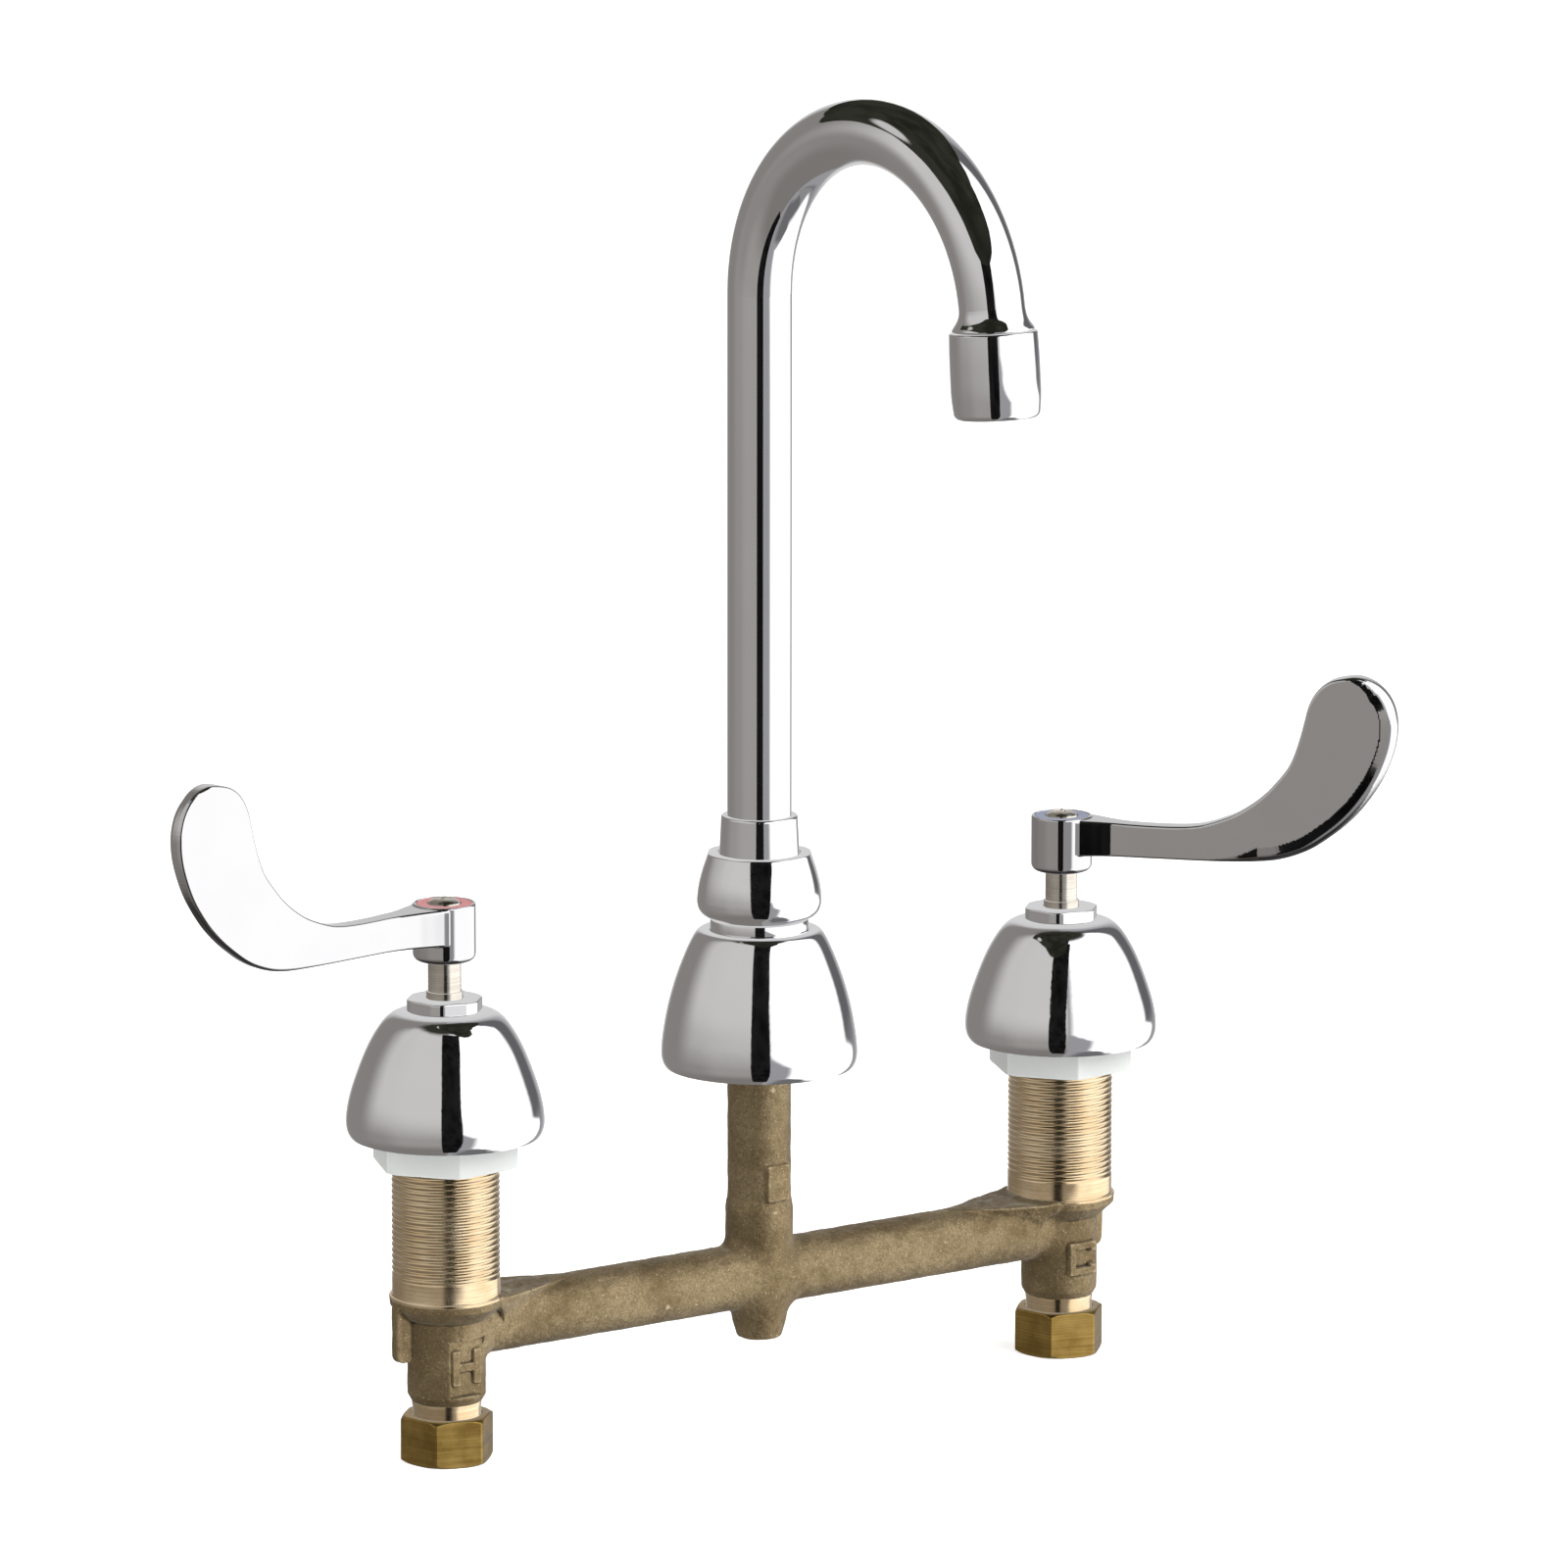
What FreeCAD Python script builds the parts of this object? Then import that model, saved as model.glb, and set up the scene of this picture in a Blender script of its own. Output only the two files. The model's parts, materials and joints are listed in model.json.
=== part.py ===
import FreeCAD, Part
import math
import os
import Sketcher
from FreeCAD import Placement, Rotation, Vector

# Deck mounted basin faucet on 8 inch centres: two valves and a swinging
# gooseneck spout on one brass casting that hangs below the deck.
# Frame: X to the right (cold side), Y to the back, Z up. The origin lies on the
# spout axis, in the plane of the deck that the two handle bells stand on.
# Millimetres and degrees.

os.makedirs("parts", exist_ok=True)
doc = FreeCAD.newDocument("basin_faucet")

DIMENSIONS = [
    ("centre_distance", 203.2),
    # casting
    ("shank_rad", 14.31), ("shank_top", 16.0), ("shank_foot", -43.2),
    ("flange_rad", 15.0), ("flange_foot", -48.6),
    ("valve_rad", 10.4), ("valve_foot", -72.0), ("valve_chamfer", 1.2),
    ("inlet_rad", 9.1), ("inlet_end", -82.5), ("inlet_bore", 5.5), ("riser_bore", 6.45), ("riser_stop", -77.5),
    ("mouth_rad", 9.4), ("mouth_foot", 5.6), ("chamber_bore", 8.2), ("seat_level", -58.0),
    ("bridge_rad", 8.7), ("bridge_level", -52.0), ("bridge_bore", 5.5),
    ("post_rad", 8.55), ("post_low_rad", 9.15), ("post_step", -32.0), ("post_top", 30.0), ("post_bore", 5.6),
    ("plug_rad", 8.2), ("plug_tip_rad", 7.0), ("plug_foot", -70.0),
    ("rib_width", 3.0), ("rib_reach", 15.4), ("rib_foot", -60.5), ("rib_back", 1.6),
    ("web_level", -43.5), ("web_foot", -53.0), ("web_half", 12.0), ("web_reach", 39.0),
    ("pad_face", 9.0), ("pad_width", 10.8), ("pad_low", -69.2), ("pad_high", -53.8), ("hot_letter_face", 9.8),
    ("cold_letter_base", 8.9), ("cold_letter_face", 11.2), ("cold_letter_level", -60.3),
    ("post_pad_face", 8.9), ("post_pad_width", 7.0), ("post_pad_low", -30.5), ("post_pad_high", -20.5),
    # handles
    ("hub_rad", 8.35), ("hub_top", 62.4), ("hub_foot", 47.0), ("hub_round", 2.0),
    ("blade_thickness", 5.8), ("blade_face", 1.5), ("blade_soft_outer", 0.9), ("blade_soft_inner", 2.0),
    ("root_end", 18.6), ("root_front_turn", 39.8), ("root_back_turn", 41.2), ("root_top", 0.35), ("root_drop", 0.9),
    ("hot_rest_angle", 188.9), ("cold_rest_angle", -49.35), ("closed_angle", 8.9),
    ("ring_seat_rad", 7.55), ("ring_seat_depth", 0.8), ("ring_out_rad", 7.45), ("ring_in_rad", 4.5), ("ring_thick", 0.7),
    ("screw_head_rad", 4.2), ("screw_head_rise", 2.1), ("screw_rad", 2.0), ("screw_foot", 50.0), ("screw_hole_rad", 2.15),
    ("drive_square", 5.6), ("drive_slack", 0.05), ("drive_top", 57.6),
    # valve stem
    ("stem_rad", 4.4), ("stem_groove_rad", 3.85), ("clip_low", 36.95), ("clip_high", 38.75), ("clip_rad", 4.85),
    ("oring_level", 27.0), ("oring_mid_rad", 3.79), ("oring_cord", 0.58), ("oring_groove_rad", 3.15), ("oring_groove_half", 0.8),
    ("disc_rad", 6.4), ("disc_gap", 0.15), ("moving_disc_top", -48.9), ("disc_joint", -51.7), ("fixed_disc_foot", -54.7),
    ("driver_rad", 5.9), ("driver_top", -46.6), ("tang_width", 2.4), ("tang_depth", 1.1), ("disc_port_rad", 1.8), ("disc_port_at", 3.7),
    # cartridge
    ("stem_bore", 4.45), ("barrel_rad", 8.1), ("barrel_waist", 7.5), ("barrel_foot", -56.9), ("cavity_top", -44.0),
    ("bonnet_thread_rad", 9.3), ("collar_rad", 12.4), ("collar_top", 19.5), ("neck_rad", 7.94), ("neck_top", 35.8),
    ("side_port_rad", 2.6), ("side_port_level", -47.4), ("seal_bore", 4.6),
    # handle bells
    ("bell_top", 33.4), ("bell_hole", 8.05), ("bell_flat_rad", 10.9), ("bell_foot_rad", 25.1), ("bell_foot_in", 23.5), ("bell_wall", 1.4),
    # cap nut
    ("cap_corner_rad", 10.95), ("cap_height", 3.6), ("cap_hole", 4.95), ("cap_web", 1.0), ("cap_chamfer_rad", 10.2), ("cap_foot_rad", 9.6),
    # plastic shank nut
    ("shank_nut_corner", 20.4), ("shank_nut_foot", -7.9), ("shank_nut_top", 3.6), ("thread_slack", 0.06),
    # supply nut and ferrule
    ("supply_corner", 12.82), ("supply_top", -75.5), ("supply_foot", -88.2), ("supply_web", 3.0), ("supply_round_rad", 11.5),
    ("ferrule_rad", 8.0),
    # centre bell
    ("centre_bell_foot", 5.7), ("centre_bell_foot_rad", 25.4), ("centre_bell_top", 43.0), ("centre_bell_hole", 12.0),
    ("centre_bell_mouth", 13.65), ("centre_bell_seat", 42.2),
    # spout adapter
    ("adapter_foot", 18.0), ("adapter_rad", 11.8), ("adapter_top", 58.2), ("ring_low", 42.3), ("ring_high", 46.0), ("ring_rad", 13.3), ("ring_foot_rad", 13.5), ("ring_foot_high", 43.3),
    ("socket_rad", 8.65), ("socket_floor", 46.6), ("water_bore", 6.2),
    # spout coupling nut
    ("nut_foot", 46.3), ("nut_top", 64.0), ("nut_flat_base", 18.2), ("nut_flat_top", 14.0), ("nut_bore", 11.9),
    ("nut_lip", 61.4), ("nut_lip_hole", 11.0), ("nut_turn", 29.8),
    # spout collar
    ("nipple_rad", 8.6), ("nipple_foot", 47.2), ("flange_low", 58.3), ("flange_high", 61.3), ("collar_flange_rad", 11.6),
    ("sleeve_low_rad", 10.9), ("sleeve_high_rad", 10.3), ("sleeve_top", 74.2), ("tube_seat", 61.0),
    ("swivel_ring_one", 50.0), ("swivel_ring_two", 54.5), ("swivel_ring_mid", 7.97), ("swivel_ring_cord", 0.64), ("swivel_groove_rad", 7.25),
    # gooseneck
    ("tube_rad", 8.65), ("tube_bore", 7.65), ("bend_rad", 47.5), ("bend_level", 215.2), ("tube_bend", 172.0), ("outlet_tilt", 4.5),
    ("spout_swing", 3.8),
    # outlet
    ("flare_rad", 10.8), ("flare_foot", -2.8), ("housing_top", -2.95), ("housing_foot", -25.3), ("housing_rad", 11.75),
    ("nipple_out_rad", 9.3), ("housing_bore", 9.6), ("insert_rad", 9.5),
]

sheet = doc.addObject("Spreadsheet::Sheet", "Params")
for row, (alias, number) in enumerate(DIMENSIONS, start=1):
    sheet.set("A%d" % row, alias.replace("_", " "))
    sheet.set("B%d" % row, str(number))
    sheet.setAlias("B%d" % row, alias)
doc.recompute()


class Dim:
    """A size that carries its number and the sheet expression behind it."""

    def __init__(self, number, text):
        self.v = float(number)
        self.e = text

    @staticmethod
    def of(x):
        return x if isinstance(x, Dim) else Dim(x, "(%.6f)" % float(x))

    def __add__(self, o):
        o = Dim.of(o)
        return Dim(self.v + o.v, "(%s + %s)" % (self.e, o.e))

    __radd__ = __add__

    def __sub__(self, o):
        o = Dim.of(o)
        return Dim(self.v - o.v, "(%s - %s)" % (self.e, o.e))

    def __rsub__(self, o):
        return Dim.of(o) - self

    def __mul__(self, o):
        o = Dim.of(o)
        return Dim(self.v * o.v, "(%s * %s)" % (self.e, o.e))

    __rmul__ = __mul__

    def __truediv__(self, o):
        o = Dim.of(o)
        return Dim(self.v / o.v, "(%s / %s)" % (self.e, o.e))

    def __neg__(self):
        return Dim(-self.v, "(0 - %s)" % self.e)


class Sizes:
    pass


S = Sizes()
for alias, number in DIMENSIONS:
    setattr(S, alias, Dim(number, "Params." + alias))


def num(x):
    return x.v if isinstance(x, Dim) else float(x)


subparts = []


def make_body(name):
    body = doc.addObject("PartDesign::Body", name)
    body.Label = name
    subparts.append(body)
    return body


def origin_plane(body, role):
    for feature in body.Origin.OriginFeatures:
        if feature.Role == role:
            return feature
    raise ValueError(role)


def bind(obj, path, value):
    """Give a property its number, and the sheet expression if it has one."""
    if isinstance(value, Dim):
        obj.setExpression(path, value.e)


def make_sketch(body, name, role="XZ_Plane", shift=(0, 0, 0), spin=None):
    sk = body.newObject("Sketcher::SketchObject", name)
    sk.AttachmentSupport = [(origin_plane(body, role), "")]
    sk.MapMode = "FlatFace"
    sk.AttachmentOffset = Placement(Vector(*[num(c) for c in shift]), spin or Rotation())
    for axis, c in zip("xyz", shift):
        bind(sk, "AttachmentOffset.Base.%s" % axis, c)
    return sk


def pin_point(sk, geo, pos, x, y):
    """Fix one sketch point by its two coordinates."""
    if not isinstance(x, Dim) and abs(x) < 1e-9:
        sk.addConstraint(Sketcher.Constraint("PointOnObject", geo, pos, -2))
    else:
        i = sk.addConstraint(Sketcher.Constraint("DistanceX", geo, pos, num(x)))
        bind(sk, "Constraints[%d]" % i, x)
    if not isinstance(y, Dim) and abs(y) < 1e-9:
        sk.addConstraint(Sketcher.Constraint("PointOnObject", geo, pos, -1))
    else:
        i = sk.addConstraint(Sketcher.Constraint("DistanceY", geo, pos, num(y)))
        bind(sk, "Constraints[%d]" % i, y)


QUARTER = 0.20711  # rise over chord of a quarter circle


def closed_loop(sk, points):
    """Draw a closed profile, anticlockwise.

    Each entry is (x, y) or (x, y, kind, data), and kind shapes the piece to the next point:
    "round" is an arc with rise data times its chord, bulging outwards when data is positive;
    "curve" is a spline through the points in data.
    """
    n = len(points)
    ends = []
    first = sk.GeometryCount
    for i, entry in enumerate(points):
        after = points[(i + 1) % n]
        a = Vector(num(entry[0]), num(entry[1]), 0)
        b = Vector(num(after[0]), num(after[1]), 0)
        kind = entry[2] if len(entry) > 2 else "line"
        if kind == "round":
            side = Vector(b.y - a.y, a.x - b.x, 0)
            middle = (a + b) * 0.5 + side * entry[3]
            piece = Part.Arc(a, middle, b)
            sk.addGeometry(piece, False)
        elif kind == "curve":
            piece = Part.BSplineCurve()
            knots = [a] + [Vector(x, y, 0) for x, y in entry[3]] + [b]
            if len(entry) > 4:
                piece.interpolate(Points=knots, InitialTangent=Vector(*entry[4]), FinalTangent=Vector(*entry[5]))
            else:
                piece.interpolate(Points=knots)
            sk.addGeometry(piece, False)
        else:
            sk.addGeometry(Part.LineSegment(a, b), False)
        geo = first + i
        here = sk.getPoint(geo, 1)
        ends.append((1, 2) if (here - a).Length < 1e-4 else (2, 1))
    for i in range(n):
        j = (i + 1) % n
        sk.addConstraint(Sketcher.Constraint("Coincident", first + i, ends[i][1], first + j, ends[j][0]))
    for i, entry in enumerate(points):
        pin_point(sk, first + i, ends[i][0], entry[0], entry[1])


def circle(sk, x, y, rad):
    geo = sk.addGeometry(Part.Circle(Vector(num(x), num(y), 0), Vector(0, 0, 1), num(rad)), False)
    i = sk.addConstraint(Sketcher.Constraint("Radius", geo, num(rad)))
    bind(sk, "Constraints[%d]" % i, rad)
    if not isinstance(x, Dim) and abs(x) < 1e-9 and not isinstance(y, Dim) and abs(y) < 1e-9:
        sk.addConstraint(Sketcher.Constraint("Coincident", geo, 3, -1, 1))
    else:
        pin_point(sk, geo, 3, x, y)


def volume(body):
    return body.Shape.Volume if not body.Shape.isNull() else 0.0


def finish_feature(body, feature, grows):
    """Recompute, and check that the feature changed the solid the way it should."""
    before = getattr(body, "Tip", None)
    doc.recompute()
    old = feature.BaseFeature.Shape.Volume if feature.BaseFeature else 0.0
    new = feature.Shape.Volume
    if grows and not new > old + 1e-6:
        raise RuntimeError("%s adds nothing: %g to %g" % (feature.Label, old, new))
    if not grows and not new < old - 1e-6:
        raise RuntimeError("%s cuts nothing: %g to %g" % (feature.Label, old, new))
    return before


def turned(body, name, points, cut=False, shift=(0, 0, 0)):
    """A profile in the XZ plane, x as radius and y as height, turned about the vertical."""
    sk = make_sketch(body, name + "_profile", "XZ_Plane", shift)
    closed_loop(sk, points)
    f = body.newObject("PartDesign::Groove" if cut else "PartDesign::Revolution", name)
    f.Profile = sk
    f.ReferenceAxis = (sk, ["V_Axis"])
    f.Angle = 360.0
    sk.Visibility = False
    finish_feature(body, f, not cut)
    return f


def prism(body, name, draw, low, high, cut=False, spin=None, role="XY_Plane"):
    """Pad or pocket a sketch between two heights along the plane's normal."""
    sk = make_sketch(body, name + "_sketch", role, (0, 0, low), spin)
    draw(sk)
    if cut:
        f = body.newObject("PartDesign::Pocket", name)
        f.Profile = sk
        f.Reversed = True
    else:
        f = body.newObject("PartDesign::Pad", name)
        f.Profile = sk
    length = high - low
    f.Length = num(length)
    bind(f, "Length", length)
    sk.Visibility = False
    finish_feature(body, f, not cut)
    return f


def polygon(corner, count, turn=0.0):
    """A draw function for a regular polygon whose corners lie on radius corner."""

    def draw(sk):
        pts = []
        for k in range(count):
            a = math.radians(turn + 360.0 * k / count)
            pts.append((corner * math.cos(a), corner * math.sin(a)))
        closed_loop(sk, pts)

    return draw


def rectangle(x0, y0, x1, y1):
    def draw(sk):
        closed_loop(sk, [(x0, y0), (x1, y0), (x1, y1), (x0, y1)])

    return draw


def place(body, x=0.0, y=0.0, z=0.0, angle=0.0):
    body.Placement = Placement(Vector(num(x), num(y), num(z)), Rotation(Vector(0, 0, 1), num(angle)))
    bind(body, "Placement.Base.x", Dim.of(x) if isinstance(x, Dim) else x)


HALF = S.centre_distance / 2
SIDES = {"hot": (-HALF, -1.0, S.hot_rest_angle), "cold": (HALF, 1.0, S.cold_rest_angle)}


# ---------------------------------------------------------------- casting
casting = make_body("body_casting")


def bridge_sketch(sk):
    circle(sk, 0, S.bridge_level, S.bridge_rad)


bridge = prism(casting, "bridge", bridge_sketch, -HALF, HALF, role="YZ_Plane")

tower_profile = [
    (0, S.inlet_end),
    (S.inlet_rad - 0.5, S.inlet_end),
    (S.inlet_rad, S.inlet_end + 0.5),
    (S.inlet_rad, S.valve_foot),
    (S.valve_rad - S.valve_chamfer, S.valve_foot),
    (S.valve_rad, S.valve_foot + S.valve_chamfer * 1.5),
    (S.valve_rad, S.flange_foot - 0.8),
    (S.valve_rad + 0.8, S.flange_foot),
    (S.flange_rad - 2.6, S.flange_foot, "round", 0.13),
    (S.flange_rad, S.flange_foot + 2.8),
    (S.flange_rad, S.shank_foot - 0.2),
    (S.flange_rad - 0.2, S.shank_foot, "round", -0.1),
    (S.shank_rad, S.shank_foot + 0.9),
    (S.shank_rad, S.shank_top - 0.7),
    (S.shank_rad - 0.7, S.shank_top),
    (0, S.shank_top),
]
for side, (x, sign, angle) in SIDES.items():
    turned(casting, side + "_tower", tower_profile, shift=(x, 0, 0))

turned(
    casting,
    "centre_post",
    [
        (0, S.plug_foot),
        (S.plug_tip_rad - 2.4, S.plug_foot, "round", 0.19),
        (S.plug_tip_rad, S.plug_foot + 2.2),
        (S.plug_rad, S.bridge_level - 8.0),
        (S.post_low_rad, S.bridge_level),
        (S.post_low_rad, S.post_step - 1.6),
        (S.post_rad, S.post_step + 1.6),
        (S.post_rad, S.post_top - 0.6),
        (S.post_rad - 0.6, S.post_top),
        (0, S.post_top),
    ],
)

# the outer rib under each shank flange
for side, (x, sign, angle) in SIDES.items():
    sk = make_sketch(casting, side + "_rib_sketch", "XZ_Plane", (x, 0, -S.rib_back - S.rib_width / 2))
    inner, outer = 8.0 * sign, S.rib_reach * sign
    edge = (S.rib_reach - 2.6) * sign
    top = S.shank_foot - 1.2
    if sign > 0:
        loop = [(inner, S.rib_foot), (edge, S.rib_foot, "round", QUARTER), (outer, S.rib_foot + 2.6), (outer, top), (inner, top)]
    else:
        loop = [(inner, top), (outer, top), (outer, S.rib_foot + 2.6, "round", QUARTER), (edge, S.rib_foot), (inner, S.rib_foot)]
    closed_loop(sk, loop)
    rib = casting.newObject("PartDesign::Pad", side + "_rib")
    rib.Profile = sk
    rib.Length = S.rib_width.v
    bind(rib, "Length", S.rib_width)
    finish_feature(casting, rib, True)

# the flat topped web that runs from each shank flange into the bridge
for side, (x, sign, angle) in SIDES.items():
    inner = HALF - 11.5
    outline = lambda k: [
        (inner, -S.web_half * k),
        (inner - 13.0, -S.web_half * 0.62 * k),
        (HALF - S.web_reach, -1.0),
        (HALF - S.web_reach, 1.0),
        (inner - 13.0, S.web_half * 0.62 * k),
        (inner, S.web_half * k),
    ]
    sections = []
    for tag, level, k in (("low", S.web_foot, 0.55), ("high", S.web_level, 1.0)):
        sk = make_sketch(casting, side + "_web_" + tag, "XY_Plane", (0, 0, level))
        pts = outline(k)
        if sign < 0:
            pts = [(-px, py) for px, py in reversed(pts)]
        closed_loop(sk, pts)
        sections.append(sk)
    web = casting.newObject("PartDesign::AdditiveLoft", side + "_web")
    web.Profile = sections[0]
    web.Sections = [(sections[1], [""])]
    web.Ruled = True
    finish_feature(casting, web, True)

# raised letters on the front of the valve bodies, the hot one on a flat, and a bare pad on the post
LETTERS = {
    "hot": [
        [(-4.4, -4.7), (-2.0, -4.7), (-2.0, -1.2), (2.0, -1.2), (2.0, -4.7), (4.4, -4.7), (4.4, 4.7), (2.0, 4.7), (2.0, 1.2), (-2.0, 1.2), (-2.0, 4.7), (-4.4, 4.7)],
    ],
    "cold": [
        [(-4.4, -4.6), (4.4, -4.6), (4.4, -1.0), (2.0, -1.0), (2.0, -2.4), (-2.0, -2.4), (-2.0, 2.4), (2.0, 2.4), (2.0, 1.0), (4.4, 1.0), (4.4, 4.6), (-4.4, 4.6)],
    ],
}
half = S.pad_width / 2
prism(casting, "hot_flat", rectangle(-HALF - half, S.pad_low, -HALF + half, S.pad_high), S.pad_face, S.pad_face + 4.0, cut=True, role="XZ_Plane")
for side, (x, sign, angle) in SIDES.items():
    if side == "hot":
        base, face, level = S.pad_face - 0.5, S.hot_letter_face, (S.pad_low + S.pad_high) / 2
    else:
        base, face, level = S.cold_letter_base, S.cold_letter_face, S.cold_letter_level
    sk = make_sketch(casting, side + "_letter_sketch", "XZ_Plane", (x, level, base))
    for loop in LETTERS[side]:
        closed_loop(sk, loop)
    pad = casting.newObject("PartDesign::Pad", side + "_letter")
    pad.Profile = sk
    depth = face - base
    pad.Length = depth.v
    bind(pad, "Length", depth)
    finish_feature(casting, pad, True)

sk = make_sketch(casting, "post_pad_sketch", "XZ_Plane", (0, 0, 2.0))
half = S.post_pad_width / 2
closed_loop(sk, [(-half, S.post_pad_low), (half, S.post_pad_low), (half, S.post_pad_high), (-half, S.post_pad_high)])
pad = casting.newObject("PartDesign::Pad", "post_pad")
pad.Profile = sk
pad.Length = S.post_pad_face.v - 2.0
bind(pad, "Length", S.post_pad_face - 2.0)
finish_feature(casting, pad, True)

# waterways
for side, (x, sign, angle) in SIDES.items():
    turned(
        casting,
        side + "_bore",
        [
            (0, S.inlet_end - 1.0),
            (S.riser_bore + 1.45 + 1.0, S.inlet_end - 1.0),
            (S.riser_bore, S.inlet_end + 1.45),
            (S.riser_bore, S.riser_stop),
            (S.inlet_bore, S.riser_stop),
            (S.inlet_bore, S.seat_level),
            (S.chamber_bore, S.seat_level),
            (S.chamber_bore, S.mouth_foot),
            (S.mouth_rad, S.mouth_foot),
            (S.mouth_rad, S.shank_top + 1.0),
            (0, S.shank_top + 1.0),
        ],
        cut=True,
        shift=(x, 0, 0),
    )
turned(
    casting,
    "post_waterway",
    [
        (0, S.bridge_level - 6.0),
        (S.post_bore, S.bridge_level - 6.0),
        (S.post_bore, S.post_top + 1.0),
        (0, S.post_top + 1.0),
    ],
    cut=True,
)


def bridge_bore_sketch(sk):
    circle(sk, 0, S.bridge_level, S.bridge_bore)


prism(casting, "bridge_waterway", bridge_bore_sketch, -HALF, HALF, cut=True, role="YZ_Plane")


# ---------------------------------------------------------------- valves
# the blade's outline, from the underside of the arm out round the paddle and back along the top:
# distance from the valve axis, height above the hub's top
BLADE_OUTLINE = [
    (38.0, -10.3), (47.0, -10.28), (55.5, -10.1), (61.0, -9.3), (66.0, -7.7), (70.2, -5.7), (74.7, -2.6), (79.0, 0.9), (83.0, 5.0),
    (86.5, 9.7), (89.2, 14.2), (91.3, 19.2), (92.6, 23.7), (93.15, 28.0), (92.85, 32.0), (91.6, 35.8), (89.3, 39.0), (86.1, 41.3),
    (82.3, 42.45), (78.5, 42.05), (75.0, 41.0), (72.3, 39.2), (70.3, 36.7), (68.85, 33.5), (67.9, 29.8), (67.0, 26.2), (66.2, 23.4),
    (65.15, 20.3), (63.8, 17.2), (62.1, 14.7), (60.3, 12.5), (58.3, 10.2), (55.8, 7.8), (52.7, 5.4), (49.0, 3.1), (44.5, 1.2),
    (40.0, -0.25), (36.6, -0.8), (33.0, -1.05), (27.5, -1.15), (20.5, -1.05),
]


def lever(side):
    x, sign, angle = SIDES[side]
    body = make_body(side + "_lever")
    # the blade, with soft edges all round
    sk = make_sketch(body, "blade_sketch", "XZ_Plane", (0, 0, -S.blade_face))
    top = S.hub_top - 0.35
    under = S.hub_top - 10.35
    shoulder = S.hub_top - 0.85
    z0 = S.hub_top.v
    closed_loop(
        sk,
        [
            (0, under),
            (30.0, under, "curve", [(px, z0 + h) for px, h in BLADE_OUTLINE], (1, 0, 0), (-14.0, 0.5, 0)),
            (14.0, shoulder),
            (0, top),
        ],
    )
    blade = body.newObject("PartDesign::Pad", "blade")
    blade.Profile = sk
    blade.Length = S.blade_thickness.v
    bind(blade, "Length", S.blade_thickness)
    finish_feature(body, blade, True)
    y_in = S.blade_face.v - S.blade_thickness.v
    for tag, level, rad in (("outer", S.blade_face.v, S.blade_soft_outer), ("inner", y_in, S.blade_soft_inner)):
        tip_feature = body.Tip
        names = []
        for i, e in enumerate(tip_feature.Shape.Edges, start=1):
            b = e.BoundBox
            if b.YLength < 0.02 and abs(b.YMin - level) < 0.02 and b.XMax > 1.0:
                names.append("Edge%d" % i)
        soft = body.newObject("PartDesign::Fillet", "blade_edge_" + tag)
        soft.Base = (tip_feature, names)
        soft.Radius = rad.v
        bind(soft, "Radius", rad)
        doc.recompute()
        if "Invalid" in soft.State or soft.Shape.isNull() or not soft.Shape.isValid():
            raise RuntimeError("blade edge %s failed on %s" % (tag, names))
    # the hub it grows out of
    r = S.hub_round
    turned(
        body,
        "hub",
        [
            (0, S.hub_foot),
            (S.hub_rad - r, S.hub_foot, "round", QUARTER),
            (S.hub_rad, S.hub_foot + r),
            (S.hub_rad, S.hub_top - 0.4, "round", QUARTER),
            (S.hub_rad - 0.4, S.hub_top),
            (0, S.hub_top),
        ],
    )
    # the arm's root, which narrows from the hub to the blade on both sides
    front = math.radians(90.0 - S.root_front_turn.v)
    back = math.radians(90.0 - S.root_back_turn.v)
    r = S.hub_rad.v
    f0 = (r * math.cos(front), r * math.sin(front))
    b0 = (r * math.cos(back), -r * math.sin(back))
    far = S.root_end.v
    y_front = S.blade_face.v

    def root(sk):
        closed_loop(
            sk,
            [
                (b0[0], b0[1], "curve", [(8.5, -5.46), (11.2, -4.74), (13.8, -4.38)], (0.965, 0.262, 0), (1, 0, 0)),
                (S.root_end, S.blade_face - S.blade_thickness),
                (S.root_end, S.blade_face, "curve", [(16.3, 1.98), (13.5, 3.1), (9.5, 4.74)], (-1, 0, 0), (-0.927, 0.375, 0)),
                (f0[0], f0[1]),
            ],
        )

    prism(body, "root", root, S.hub_top - 10.2, S.hub_top - S.root_top)

    def slope(sk):
        top = S.hub_top - S.root_top
        closed_loop(sk, [(S.hub_rad + 0.05, top), (S.root_end + 0.4, top - S.root_drop), (S.root_end + 0.4, top + 3.0), (S.hub_rad + 0.05, top + 3.0)])

    prism(body, "root_slope", slope, Dim.of(-9.0), Dim.of(9.0), cut=True, role="XZ_Plane")
    # seat for the index ring, hole for the screw, square drive for the stem
    floor = S.hub_top - S.ring_seat_depth
    turned(body, "ring_seat", [(0, floor), (S.ring_seat_rad, floor), (S.ring_seat_rad, S.hub_top + 1.0), (0, S.hub_top + 1.0)], cut=True)
    turned(body, "screw_hole", [(0, S.drive_top - 1.0), (S.screw_hole_rad + 0.1, S.drive_top - 1.0), (S.screw_hole_rad + 0.1, floor + 1.0), (0, floor + 1.0)], cut=True)
    h = S.drive_square / 2 + S.drive_slack
    prism(body, "drive_hole", rectangle(-h, -h, h, h), S.hub_foot - 1.0, S.drive_top, cut=True)
    turned(body, "stem_socket", [(0, S.hub_foot - 1.0), (S.stem_bore, S.hub_foot - 1.0), (S.stem_bore, S.hub_foot + 1.2), (0, S.hub_foot + 1.2)], cut=True)
    place(body, x, angle=angle)
    return body


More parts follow.
